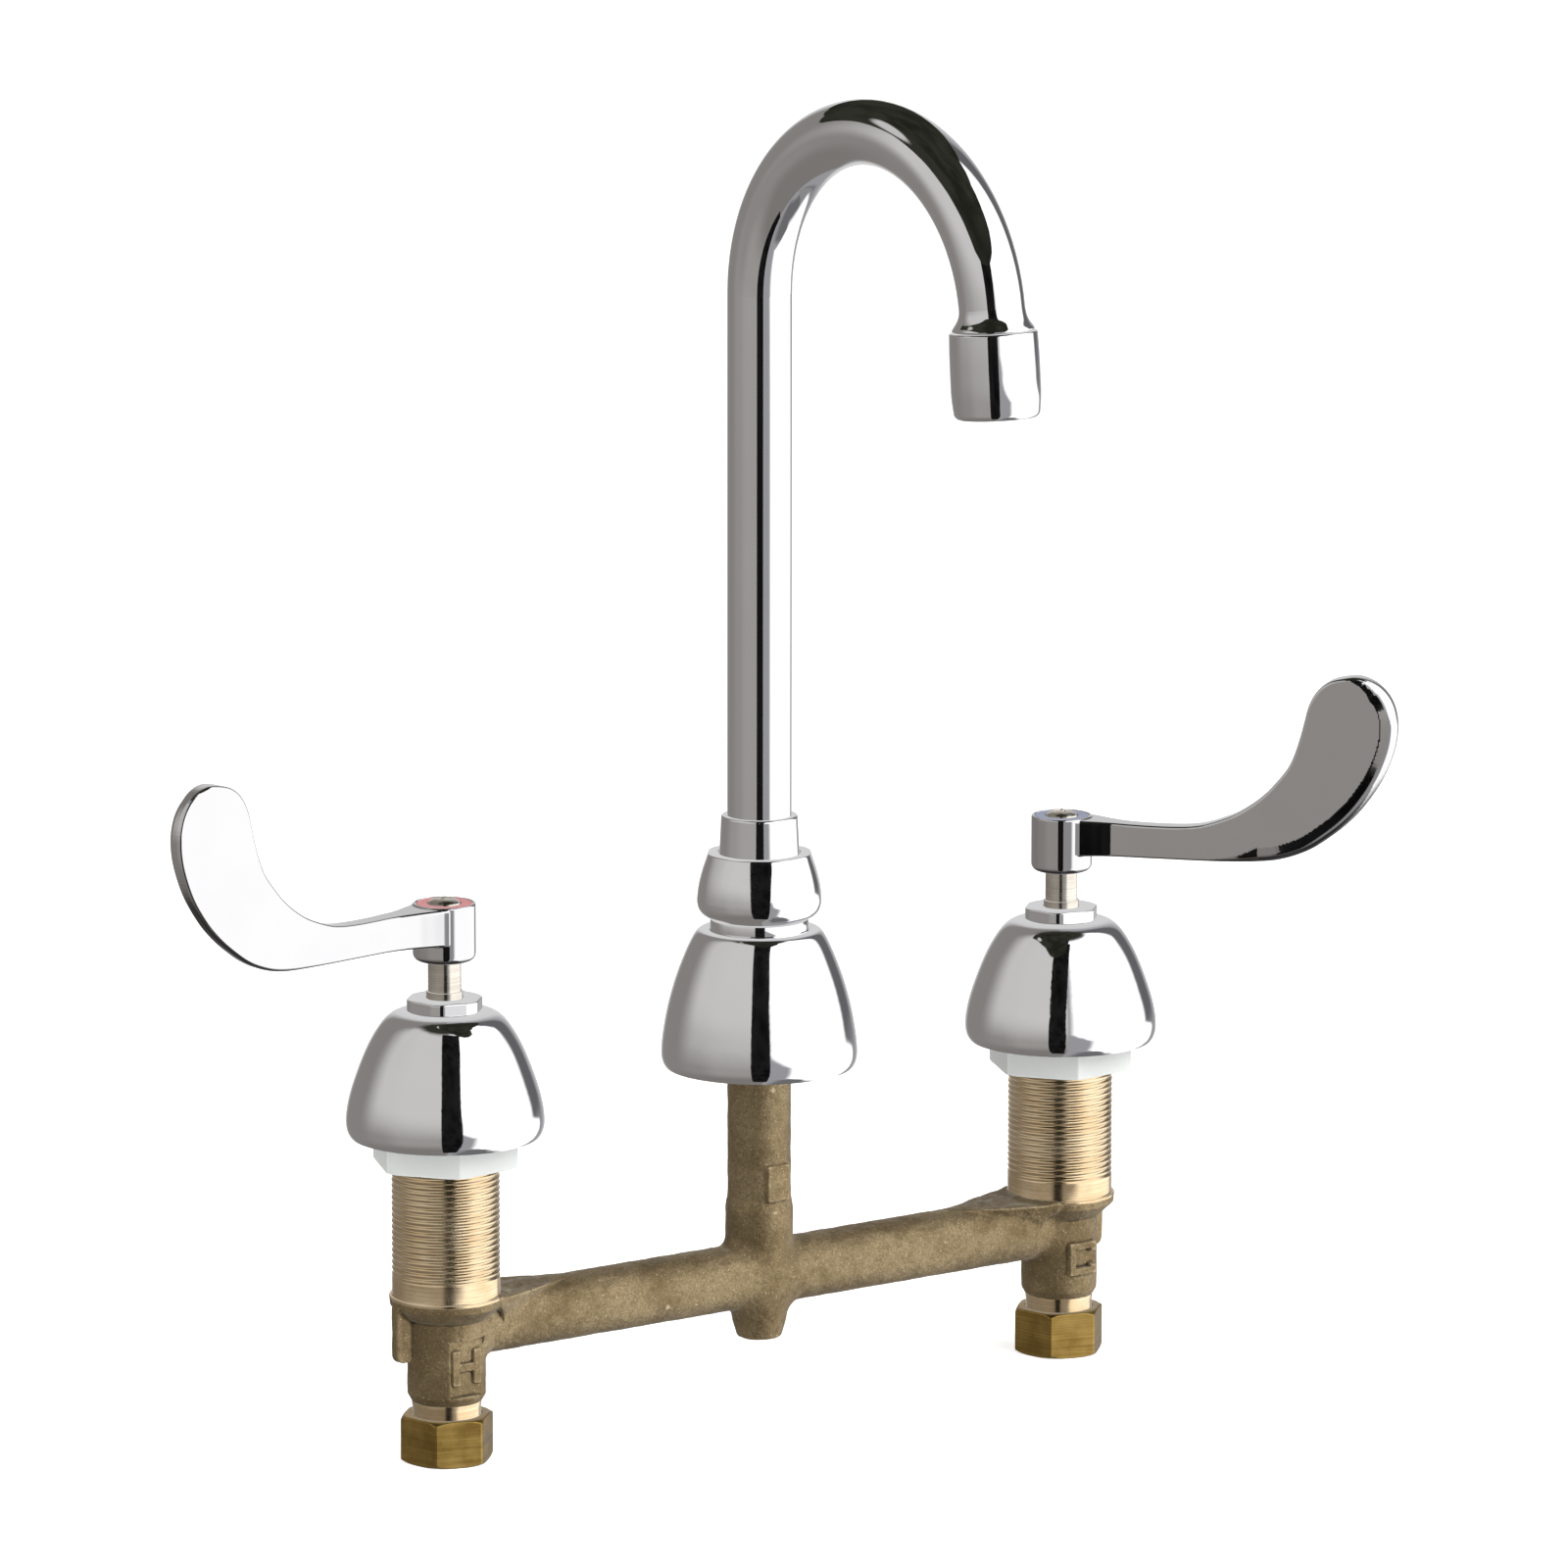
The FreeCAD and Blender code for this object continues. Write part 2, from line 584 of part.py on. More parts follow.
def lever_screw(side):
    x, sign, angle = SIDES[side]
    body = make_body(side + "_lever_screw")
    seat = S.hub_top - S.ring_seat_depth
    turned(
        body,
        "screw",
        [
            (0, S.screw_foot),
            (S.screw_rad - 0.3, S.screw_foot),
            (S.screw_rad, S.screw_foot + 0.4),
            (S.screw_rad, seat),
            (S.screw_head_rad, seat),
            (S.screw_head_rad, seat + 0.9, "round", 0.11),
            (0, seat + S.screw_head_rise),
        ],
    )
    for k, (a, b) in enumerate(((2.2, 0.45), (0.45, 2.2))):
        prism(body, "recess_%d" % k, rectangle(-a, -b, a, b), seat + S.screw_head_rise - 1.3, seat + S.screw_head_rise + 1.0, cut=True)
    place(body, x, angle=angle + 33.0)
    return body


def index_ring(side):
    x, sign, angle = SIDES[side]
    body = make_body(side + "_index_ring")
    low = S.hub_top - S.ring_seat_depth
    high = low + S.ring_thick
    turned(
        body,
        "ring",
        [
            (S.ring_in_rad, low),
            (S.ring_out_rad, low),
            (S.ring_out_rad, high - 0.25, "round", QUARTER),
            (S.ring_out_rad - 0.25, high),
            (S.ring_in_rad + 0.2, high - 0.05),
            (S.ring_in_rad, high - 0.25),
        ],
    )
    place(body, x, angle=angle)
    return body


def stem(side):
    x, sign, angle = SIDES[side]
    body = make_body(side + "_stem")
    lo, hi = S.oring_level - S.oring_groove_half, S.oring_level + S.oring_groove_half
    turned(
        body,
        "shaft",
        [
            (0, S.moving_disc_top),
            (S.driver_rad, S.moving_disc_top),
            (S.driver_rad, S.driver_top),
            (S.stem_rad, S.driver_top),
            (S.stem_rad, lo),
            (S.oring_groove_rad, lo),
            (S.oring_groove_rad, hi),
            (S.stem_rad, hi),
            (S.stem_rad, S.clip_low - 0.05),
            (S.stem_groove_rad, S.clip_low - 0.05),
            (S.stem_groove_rad, S.clip_high + 0.05),
            (S.stem_rad, S.clip_high + 0.05),
            (S.stem_rad, S.hub_foot + 0.9),
            (S.stem_rad - 0.3, S.hub_foot + 1.15),
            (0, S.hub_foot + 1.15),
        ],
    )
    h = S.drive_square / 2
    prism(body, "square_end", rectangle(-h, -h, h, h), S.hub_foot + 0.5, S.drive_top - 0.4)
    turned(body, "screw_thread", [(0, S.screw_foot - 1.0), (S.screw_rad + 0.05, S.screw_foot - 1.0), (S.screw_rad + 0.05, S.drive_top + 1.0), (0, S.drive_top + 1.0)], cut=True)
    w = S.tang_width / 2
    prism(body, "tang", rectangle(-w, -5.0, w, 5.0), S.moving_disc_top - S.tang_depth, S.moving_disc_top + 0.5)
    place(body, x, angle=angle)
    return body


def stem_clip(side):
    x, sign, angle = SIDES[side]
    body = make_body(side + "_stem_clip")
    inner = S.stem_groove_rad + 0.05
    turned(body, "ring", [(inner, S.clip_low), (S.clip_rad, S.clip_low), (S.clip_rad, S.clip_high), (inner, S.clip_high)])
    prism(body, "gap", rectangle(-1.3, 0.0, 1.3, 6.0), S.clip_low - 1.0, S.clip_high + 1.0, cut=True)
    place(body, x, angle=30.0)
    return body


def stem_ring(side):
    x, sign, angle = SIDES[side]
    body = make_body(side + "_stem_o_ring")
    sk = make_sketch(body, "cord", "XZ_Plane")
    circle(sk, S.oring_mid_rad, S.oring_level, S.oring_cord)
    f = body.newObject("PartDesign::Revolution", "torus")
    f.Profile = sk
    f.ReferenceAxis = (sk, ["V_Axis"])
    f.Angle = 360.0
    finish_feature(body, f, True)
    place(body, x)
    return body


def discs(side):
    x, sign, angle = SIDES[side]
    closed = 180.0 + S.closed_angle.v if side == "hot" else -S.closed_angle.v
    body = make_body(side + "_moving_disc")
    turned(body, "disc", [(0, S.disc_joint), (S.disc_rad, S.disc_joint), (S.disc_rad, S.moving_disc_top - 0.3), (S.disc_rad - 0.3, S.moving_disc_top), (0, S.moving_disc_top)])
    w = S.tang_width / 2 + 0.03
    prism(body, "drive_slot", rectangle(-w, -7.0, w, 7.0), S.moving_disc_top - S.tang_depth - 0.03, S.moving_disc_top + 1.0, cut=True)

    def ports(sk):
        circle(sk, S.disc_port_at, 0, S.disc_port_rad)
        circle(sk, -S.disc_port_at, 0, S.disc_port_rad)

    prism(body, "ports", ports, S.disc_joint - 1.0, S.moving_disc_top + 1.0, cut=True)
    place(body, x, angle=angle)
    fixed = make_body(side + "_fixed_disc")
    turned(fixed, "disc", [(0, S.fixed_disc_foot), (S.disc_rad + 0.1, S.fixed_disc_foot), (S.disc_rad + 0.1, S.disc_joint - 0.3), (S.disc_rad - 0.2, S.disc_joint), (0, S.disc_joint)])
    prism(fixed, "ports", ports, S.fixed_disc_foot - 1.0, S.disc_joint + 1.0, cut=True)
    place(fixed, x, angle=closed + 90.0)
    return body, fixed


def cartridge(side):
    x, sign, angle = SIDES[side]
    body = make_body(side + "_cartridge_body")
    cavity = S.disc_rad + 0.1 + S.disc_gap
    turned(
        body,
        "barrel",
        [
            (cavity, S.barrel_foot),
            (S.barrel_rad, S.barrel_foot),
            (S.barrel_rad, S.side_port_level - 3.6),
            (S.barrel_waist, S.side_port_level - 3.6),
            (S.barrel_waist, S.side_port_level + 3.6),
            (S.barrel_rad, S.side_port_level + 3.6),
            (S.barrel_rad, S.mouth_foot + 0.2),
            (S.bonnet_thread_rad, S.mouth_foot + 0.2),
            (S.bonnet_thread_rad, S.shank_top),
            (S.collar_rad - 0.5, S.shank_top),
            (S.collar_rad, S.shank_top + 0.5),
            (S.collar_rad, S.collar_top - 0.5),
            (S.collar_rad - 0.5, S.collar_top),
            (S.neck_rad, S.collar_top),
            (S.neck_rad, S.neck_top - 0.5),
            (S.neck_rad - 0.5, S.neck_top),
            (S.stem_bore, S.neck_top),
            (S.stem_bore, S.cavity_top),
            (cavity, S.cavity_top),
        ],
    )
    sk = make_sketch(body, "side_port_sketch", "YZ_Plane", (0, 0, 0))
    circle(sk, 0, S.side_port_level, S.side_port_rad)
    port = body.newObject("PartDesign::Pocket", "side_port")
    port.Profile = sk
    port.Length = 12.0
    port.Reversed = True  # towards +X
    finish_feature(body, port, False)
    # the port looks along the bridge, at the spout
    place(body, x, angle=0.0 if side == "hot" else 180.0)
    return body


def seat_seal(side):
    x, sign, angle = SIDES[side]
    body = make_body(side + "_seat_seal")
    turned(body, "seal", [(S.seal_bore, S.seat_level), (S.disc_rad, S.seat_level), (S.disc_rad, S.fixed_disc_foot), (S.seal_bore, S.fixed_disc_foot)])
    place(body, x)
    return body


def handle_bell(side):
    x, sign, angle = SIDES[side]
    body = make_body(side + "_bell")
    top, flat = S.bell_top, S.bell_flat_rad
    turned(
        body,
        "bell",
        [
            (S.bell_foot_in, 0.0),
            (S.bell_foot_rad, 0.0, "curve", [(25.75, 1.1), (26.2, 3.0), (26.2, 5.2), (25.75, 8.5), (24.9, 12.0), (23.5, 16.3), (21.8, 20.8), (19.8, 25.2), (17.4, 29.2), (15.9, 31.1), (14.3, 32.4), (12.6, 33.15)]),
            (flat, top),
            (S.bell_hole, top),
            (S.bell_hole, top - S.bell_wall),
            (S.bell_flat_rad - 0.4, top - S.bell_wall, "curve", [(12.1, 31.75), (13.6, 31.05), (15.0, 29.8), (16.3, 28.2), (18.5, 24.5), (20.45, 20.2), (22.1, 15.8), (23.45, 11.5), (24.25, 8.2), (24.55, 4.9), (24.3, 2.2)]),
        ],
    )
    place(body, x)
    return body


def hex_nut_body(name, corner, low, high, turn, top_round=None, foot_round=None):
    """A hexagon between two heights, its corners turned off to the given radii at top and foot."""
    body = make_body(name)
    prism(body, "hexagon", polygon(corner, 6, turn), low, high)
    c = num(corner)
    big = Dim.of(c + 3.0)
    if top_round is not None:
        rise = (corner - top_round) * 0.55
        turned(body, "top_chamfer", [(top_round, high), (big, high - (big - top_round) * 0.55), (big, high + 1.0), (top_round, high + 1.0)], cut=True)
    if foot_round is not None:
        turned(body, "foot_chamfer", [(foot_round, low - 1.0), (big, low - 1.0), (big, low + (big - foot_round) * 0.55), (foot_round, low)], cut=True)
    return body


def cap_nut(side):
    x, sign, angle = SIDES[side]
    low, high = S.bell_top, S.bell_top + S.cap_height
    body = hex_nut_body(side + "_cap_nut", S.cap_corner_rad, low, high, -15.7, S.cap_chamfer_rad, S.cap_foot_rad)
    web = high - S.cap_web
    turned(
        body,
        "bore",
        [(0, low - 1.0), (S.neck_rad + S.thread_slack, low - 1.0), (S.neck_rad + S.thread_slack, web), (S.cap_hole, web), (S.cap_hole, high + 1.0), (0, high + 1.0)],
        cut=True,
    )
    place(body, x)
    return body


def shank_nut(side):
    x, sign, angle = SIDES[side]
    body = hex_nut_body(side + "_shank_nut", S.shank_nut_corner, S.shank_nut_foot, S.shank_nut_top, 7.0, S.shank_nut_corner - 1.6)
    rad = S.shank_rad + S.thread_slack
    turned(body, "bore", [(0, S.shank_nut_foot - 1.0), (rad, S.shank_nut_foot - 1.0), (rad, S.shank_nut_top + 1.0), (0, S.shank_nut_top + 1.0)], cut=True)
    place(body, x)
    return body


def supply_nut(side):
    x, sign, angle = SIDES[side]
    body = hex_nut_body(side + "_supply_nut", S.supply_corner, S.supply_foot, S.supply_top, -17.0, S.supply_round_rad, S.supply_round_rad)
    rad = S.inlet_rad + 0.1
    web = S.supply_foot + S.supply_web
    turned(
        body,
        "bore",
        [
            (0, S.supply_foot - 1.0),
            (S.riser_bore, S.supply_foot - 1.0),
            (S.riser_bore, web),
            (rad, web),
            (rad, S.supply_top + 1.0),
            (0, S.supply_top + 1.0),
        ],
        cut=True,
    )
    place(body, x)
    return body


def ferrule(side):
    x, sign, angle = SIDES[side]
    body = make_body(side + "_supply_ferrule")
    web = S.supply_foot + S.supply_web
    rad = S.ferrule_rad
    turned(
        body,
        "ferrule",
        [
            (S.riser_bore, web),
            (rad - 0.4, web),
            (rad, web + 0.5),
            (rad, S.inlet_end - 0.25),
            (S.riser_bore + 0.15, S.inlet_end - 0.25 + rad - S.riser_bore - 0.15),
            (S.riser_bore, S.inlet_end - 0.25 + rad - S.riser_bore - 0.15),
        ],
    )
    place(body, x)
    return body


for side in SIDES:
    lever(side)
    lever_screw(side)
    index_ring(side)
    stem(side)
    stem_clip(side)
    stem_ring(side)
    discs(side)
    cartridge(side)
    seat_seal(side)
    handle_bell(side)
    cap_nut(side)
    shank_nut(side)
    supply_nut(side)
    ferrule(side)


# ---------------------------------------------------------------- spout base
body = make_body("centre_bell")
foot, top = S.centre_bell_foot, S.centre_bell_top
turned(
    body,
    "bell",
    [
        (S.centre_bell_foot_rad - 1.6, foot),
        (S.centre_bell_foot_rad, foot, "curve", [(26.05, 6.9), (26.4, 8.6), (26.4, 10.6), (26.15, 13.4), (25.65, 16.8), (24.9, 20.9), (23.85, 25.2), (22.55, 29.6), (21.0, 33.9), (19.3, 38.0), (18.3, 40.1), (17.5, 41.5), (16.7, 42.5)]),
        (15.6, top),
        (S.centre_bell_mouth, top),
        (S.centre_bell_mouth, S.centre_bell_seat),
        (S.centre_bell_hole, S.centre_bell_seat),
        (S.centre_bell_hole, S.centre_bell_seat - 1.6),
        (15.2, S.centre_bell_seat - 1.6, "curve", [(16.2, 40.0), (17.1, 38.8), (18.0, 37.1), (19.6, 33.2), (21.15, 29.0), (22.45, 24.8), (23.45, 20.6), (24.2, 16.4), (24.65, 13.0), (24.85, 10.2), (24.6, 7.6)]),
    ],
)

body = make_body("spout_adapter")
rad = S.adapter_rad
turned(
    body,
    "body",
    [
        (0, S.adapter_foot),
        (rad - 0.5, S.adapter_foot),
        (rad, S.adapter_foot + 0.5),
        (rad, S.ring_low),
        (S.ring_foot_rad, S.ring_low),
        (S.ring_foot_rad, S.ring_foot_high - 0.2),
        (S.ring_rad, S.ring_foot_high),
        (S.ring_rad, S.ring_high - 0.3),
        (S.ring_rad - 0.3, S.ring_high),
        (rad, S.ring_high),
        (rad, S.adapter_top - 0.6),
        (rad - 0.6, S.adapter_top),
        (0, S.adapter_top),
    ],
)
turned(
    body,
    "bore",
    [
        (0, S.adapter_foot - 1.0),
        (S.post_rad + S.thread_slack, S.adapter_foot - 1.0),
        (S.post_rad + S.thread_slack, S.post_top + 0.1),
        (S.water_bore, S.post_top + 0.1),
        (S.water_bore, S.socket_floor),
        (S.socket_rad, S.socket_floor),
        (S.socket_rad, S.adapter_top + 1.0),
        (0, S.adapter_top + 1.0),
    ],
    cut=True,
)

# domed coupling nut: a barrel with eight shallow flats that widen towards the top
body = make_body("spout_coupling_nut")
sections = []
turn = S.nut_turn.v
for tag, level, flat in (("foot", S.nut_foot, S.nut_flat_base), ("top", S.nut_top, S.nut_flat_top)):
    sk = make_sketch(body, "octagon_" + tag, "XY_Plane", (0, 0, level))
    polygon(flat / math.cos(math.radians(22.5)), 8, turn)(sk)
    sections.append(sk)
loft = body.newObject("PartDesign::AdditiveLoft", "octagon")
loft.Profile = sections[0]
loft.Sections = [(sections[1], [""])]
loft.Ruled = True
finish_feature(body, loft, True)
turned(
    body,
    "barrel_turning",
    [
        (13.4, S.nut_foot - 2.0),
        (22.0, S.nut_foot - 2.0),
        (22.0, S.nut_top + 2.0),
        (14.15, S.nut_top + 2.0),
        (14.15, S.nut_top, "curve", [(15.5, 59.7), (16.45, 55.8), (16.87, 52.9), (16.93, 50.6), (16.5, 48.9), (15.6, 47.6)]),
        (13.4, S.nut_foot),
    ],
    cut=True,
)
turned(
    body,
    "bore",
    [
        (0, S.nut_foot - 1.0),
        (S.nut_bore, S.nut_foot - 1.0),
        (S.nut_bore, S.nut_lip),
        (S.nut_lip_hole, S.nut_lip),
        (S.nut_lip_hole, S.nut_top + 1.0),
        (0, S.nut_top + 1.0),
    ],
    cut=True,
)

body = make_body("spout_collar")
g = 0.8
turned(
    body,
    "collar",
    [
        (S.water_bore, S.nipple_foot),
        (S.nipple_rad - 0.5, S.nipple_foot),
        (S.nipple_rad, S.nipple_foot + 0.6),
        (S.nipple_rad, S.swivel_ring_one - g),
        (S.swivel_groove_rad, S.swivel_ring_one - g),
        (S.swivel_groove_rad, S.swivel_ring_one + g),
        (S.nipple_rad, S.swivel_ring_one + g),
        (S.nipple_rad, S.swivel_ring_two - g),
        (S.swivel_groove_rad, S.swivel_ring_two - g),
        (S.swivel_groove_rad, S.swivel_ring_two + g),
        (S.nipple_rad, S.swivel_ring_two + g),
        (S.nipple_rad, S.flange_low),
        (S.collar_flange_rad, S.flange_low),
        (S.collar_flange_rad, S.flange_high),
        (S.sleeve_low_rad, S.flange_high),
        (S.sleeve_high_rad, S.sleeve_top - 0.6, "round", QUARTER),
        (S.sleeve_high_rad - 0.6, S.sleeve_top),
        (S.tube_rad + 0.03, S.sleeve_top),
        (S.tube_rad + 0.03, S.tube_seat),
        (S.water_bore, S.tube_seat),
    ],
)

rings = make_body("spout_o_rings")
sk = make_sketch(rings, "cord_low", "XZ_Plane")
circle(sk, S.swivel_ring_mid, S.swivel_ring_one, S.swivel_ring_cord)
f = rings.newObject("PartDesign::Revolution", "ring_low")
f.Profile = sk
f.ReferenceAxis = (sk, ["V_Axis"])
f.Angle = 360.0
finish_feature(rings, f, True)
pattern = rings.newObject("PartDesign::LinearPattern", "ring_pair")
pattern.Originals = [f]
pattern.Direction = (sk, ["V_Axis"])
step = S.swivel_ring_two - S.swivel_ring_one
pattern.Length = step.v
bind(pattern, "Length", step)
pattern.Occurrences = 2
rings.Tip = pattern
doc.recompute()


# ---------------------------------------------------------------- gooseneck
swing = S.spout_swing
tube = make_body("spout_tube")
path = make_sketch(tube, "tube_path", "YZ_Plane")
start = Vector(0, S.tube_seat.v, 0)
bend = Vector(0, S.bend_level.v, 0)
path.addGeometry(Part.LineSegment(start, bend), False)
centre = Vector(-S.bend_rad.v, S.bend_level.v, 0)
path.addGeometry(
    Part.ArcOfCircle(Part.Circle(centre, Vector(0, 0, 1), S.bend_rad.v), 0.0, math.radians(S.tube_bend.v)), False
)
path.addConstraint(Sketcher.Constraint("Coincident", 0, 2, 1, 1))
pin_point(path, 0, 1, 0, S.tube_seat)
pin_point(path, 0, 2, 0, S.bend_level)
pin_point(path, 1, 3, -S.bend_rad, S.bend_level)
angle_row = math.radians(S.tube_bend.v)
i = path.addConstraint(Sketcher.Constraint("DistanceY", 1, 2, S.bend_level.v + S.bend_rad.v * math.sin(angle_row)))
path.setExpression("Constraints[%d]" % i, "Params.bend_level + Params.bend_rad * sin(Params.tube_bend * 1deg)")
section = make_sketch(tube, "tube_section", "XY_Plane", (0, 0, S.tube_seat))
circle(section, 0, 0, S.tube_rad)
circle(section, 0, 0, S.tube_bore)
doc.recompute()
pipe = tube.newObject("PartDesign::AdditivePipe", "gooseneck")
pipe.Profile = section
pipe.Spine = (path, ["Edge1", "Edge2"])
pipe.Mode = "Standard"
path.Visibility = False
section.Visibility = False
finish_feature(tube, pipe, True)
place(tube, 0, angle=swing)
length = S.bend_level.v - S.tube_seat.v + S.bend_rad.v * angle_row
expected = math.pi * (S.tube_rad.v**2 - S.tube_bore.v**2) * length
if abs(tube.Shape.Volume - expected) > 0.01 * expected:
    raise RuntimeError("tube volume %g, expected %g" % (tube.Shape.Volume, expected))

# the outlet's own frame: origin where the bend would reach its full turn, Z back up the tube
tilt = S.outlet_tilt.v
turn_end = math.radians(180.0 - tilt)
end_y = -S.bend_rad.v + S.bend_rad.v * math.cos(turn_end)
end_z = S.bend_level.v + S.bend_rad.v * math.sin(turn_end)
swing_rot = Rotation(Vector(0, 0, 1), swing.v)
outlet_place = Placement(swing_rot.multVec(Vector(0, end_y, end_z)), swing_rot.multiply(Rotation(Vector(1, 0, 0), -tilt)))

flare = make_body("outlet_ferrule")
# sections of the flare: height in the outlet frame and radius; the first lies on the tube's end
lead = math.radians(180.0 - tilt - S.tube_bend.v)
rise = S.bend_rad.v * math.sin(lead)
side_shift = S.bend_rad.v * (1 - math.cos(lead))
sections = []
for tag, level, shift_y, lean, rad in (
    ("tube", rise, side_shift, -math.degrees(lead), S.tube_rad),
    ("neck", 1.5, 0.025, -1.8, S.tube_rad + 0.17),
    ("middle", 0.0, 0.0, 0.0, S.tube_rad + 0.7),
    ("swell", -1.3, 0.0, 0.0, S.tube_rad + 1.55),
    ("lip", -2.3, 0.0, 0.0, S.flare_rad),
):
    sk = make_sketch(flare, "flare_" + tag, "XY_Plane", (0, shift_y, level), Rotation(Vector(1, 0, 0), lean))
    circle(sk, 0, 0, rad)
    sections.append(sk)
doc.recompute()
loft = flare.newObject("PartDesign::AdditiveLoft", "flare")
loft.Profile = sections[0]
loft.Sections = [(s, [""]) for s in sections[1:]]
finish_feature(flare, loft, True)
turned(
    flare,
    "lip",
    [
        (0, S.flare_foot),
        (S.flare_rad - 0.35, S.flare_foot, "round", 0.15),
        (S.flare_rad, S.flare_foot + 0.5),
        (0, S.flare_foot + 0.5),
    ],
)
turned(flare, "waterway", [(0, S.flare_foot - 1.0), (S.tube_bore, S.flare_foot - 1.0), (S.tube_bore, 6.0), (0, 6.0)], cut=True)
turned(flare, "thread_bore", [(0, S.flare_foot - 1.0), (S.nipple_out_rad + 0.06, S.flare_foot - 1.0), (S.nipple_out_rad + 0.06, -0.9), (0, -0.9)], cut=True)
flare.Placement = outlet_place

housing = make_body("aerator_housing")
turned(
    housing,
    "housing",
    [
        (S.housing_bore - 0.5, S.housing_foot),
        (S.housing_rad - 1.35, S.housing_foot, "round", 0.12),
        (S.housing_rad - 0.45, S.housing_foot + 1.5, "curve", [(11.6, -21.0), (11.76, -15.0), (11.72, -9.0)], (0.1, 1.0, 0), (-0.04, 1.0, 0)),
        (S.housing_rad - 0.2, S.housing_top - 0.5, "round", QUARTER),
        (S.housing_rad - 0.7, S.housing_top),
        (S.nipple_out_rad, S.housing_top),
        (S.nipple_out_rad, -1.0),
        (S.tube_bore, -1.0),
        (S.tube_bore, -5.0),
        (S.housing_bore, -5.0),
        (S.housing_bore, S.housing_foot + 1.2),
        (S.housing_bore - 0.5, S.housing_foot + 1.2),
    ],
)
housing.Placement = outlet_place

gasket = make_body("aerator_gasket")
turned(gasket, "washer", [(S.tube_bore - 0.6, -6.4), (S.insert_rad, -6.4), (S.insert_rad, -5.0), (S.tube_bore - 0.6, -5.0)])
gasket.Placement = outlet_place

insert = make_body("aerator_insert")
foot = S.housing_foot + 3.0
turned(
    insert,
    "cage",
    [
        (0, foot + 3.2),
        (7.6, foot + 3.2),
        (7.6, foot),
        (S.insert_rad, foot),
        (S.insert_rad, -6.4),
        (7.4, -6.4),
        (7.4, -9.0),
        (0, -9.0),
    ],
)


def jets(sk):
    for k in range(6):
        a = math.radians(60.0 * k)
        circle(sk, 4.6 * math.cos(a), 4.6 * math.sin(a), 1.0)
    circle(sk, 0.0, 0.0, 1.0)


prism(insert, "jets", jets, foot - 1.0, Dim.of(-5.0), cut=True)
insert.Placement = outlet_place

screen = make_body("aerator_screen")
sk_low = S.housing_foot + 1.2
turned(screen, "screen", [(0, sk_low), (S.insert_rad, sk_low), (S.insert_rad, sk_low + 1.7), (0, sk_low + 1.7)])


def meshes(sk):
    for a in range(-3, 4):
        for b in range(-3, 4):
            if math.hypot(a, b) * 2.3 < 7.8:
                x0, y0 = a * 2.3 - 0.75, b * 2.3 - 0.75
                closed_loop(sk, [(x0, y0), (x0 + 1.5, y0), (x0 + 1.5, y0 + 1.5), (x0, y0 + 1.5)])


prism(screen, "holes", meshes, sk_low - 1.0, sk_low + 3.0, cut=True)
screen.Placement = outlet_place

doc.recompute()

# ---------------------------------------------------------------- checks and export
problems = []
for obj in doc.Objects:
    for word in obj.State:
        if word in ("Invalid", "Error"):
            problems.append("%s: %s" % (obj.Label, word))
for body in subparts:
    shape = body.Shape
    if shape.isNull() or not shape.isValid():
        problems.append("%s: no valid shape" % body.Label)
    elif not shape.Solids or shape.Volume <= 0:
        problems.append("%s: no solid" % body.Label)
if problems:
    raise RuntimeError("; ".join(problems))
for old in os.listdir("parts"):
    if old.endswith(".step") and old[:-5] not in [b.Label for b in subparts]:
        os.remove(os.path.join("parts", old))
for body in subparts:
    body.Shape.exportStep(os.path.join("parts", body.Label + ".step"))
    print("%-24s solids %d  volume %10.1f  box %s" % (body.Label, len(body.Shape.Solids), body.Shape.Volume, body.Shape.BoundBox))
print("%d sub-parts" % len(subparts))
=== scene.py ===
import json
import math

import bpy
import numpy as np
from mathutils import Matrix, Vector

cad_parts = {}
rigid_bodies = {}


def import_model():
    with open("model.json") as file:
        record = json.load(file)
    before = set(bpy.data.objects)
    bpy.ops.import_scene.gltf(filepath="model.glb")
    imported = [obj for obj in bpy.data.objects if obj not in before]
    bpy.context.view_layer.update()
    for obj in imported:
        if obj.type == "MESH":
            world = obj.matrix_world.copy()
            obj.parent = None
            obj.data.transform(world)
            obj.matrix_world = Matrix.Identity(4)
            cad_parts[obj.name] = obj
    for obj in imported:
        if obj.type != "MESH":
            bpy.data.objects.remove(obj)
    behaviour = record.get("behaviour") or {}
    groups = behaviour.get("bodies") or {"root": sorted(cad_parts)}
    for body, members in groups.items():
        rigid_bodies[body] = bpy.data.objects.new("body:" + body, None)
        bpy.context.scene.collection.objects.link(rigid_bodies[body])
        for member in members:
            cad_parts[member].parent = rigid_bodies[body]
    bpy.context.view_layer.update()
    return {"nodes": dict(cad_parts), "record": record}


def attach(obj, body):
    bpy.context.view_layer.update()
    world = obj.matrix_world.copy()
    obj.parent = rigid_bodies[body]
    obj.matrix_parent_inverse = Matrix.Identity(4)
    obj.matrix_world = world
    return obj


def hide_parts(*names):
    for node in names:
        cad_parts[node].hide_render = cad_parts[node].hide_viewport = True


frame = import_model()
nodes = frame["nodes"]
MM = 0.001
HALF = 101.6


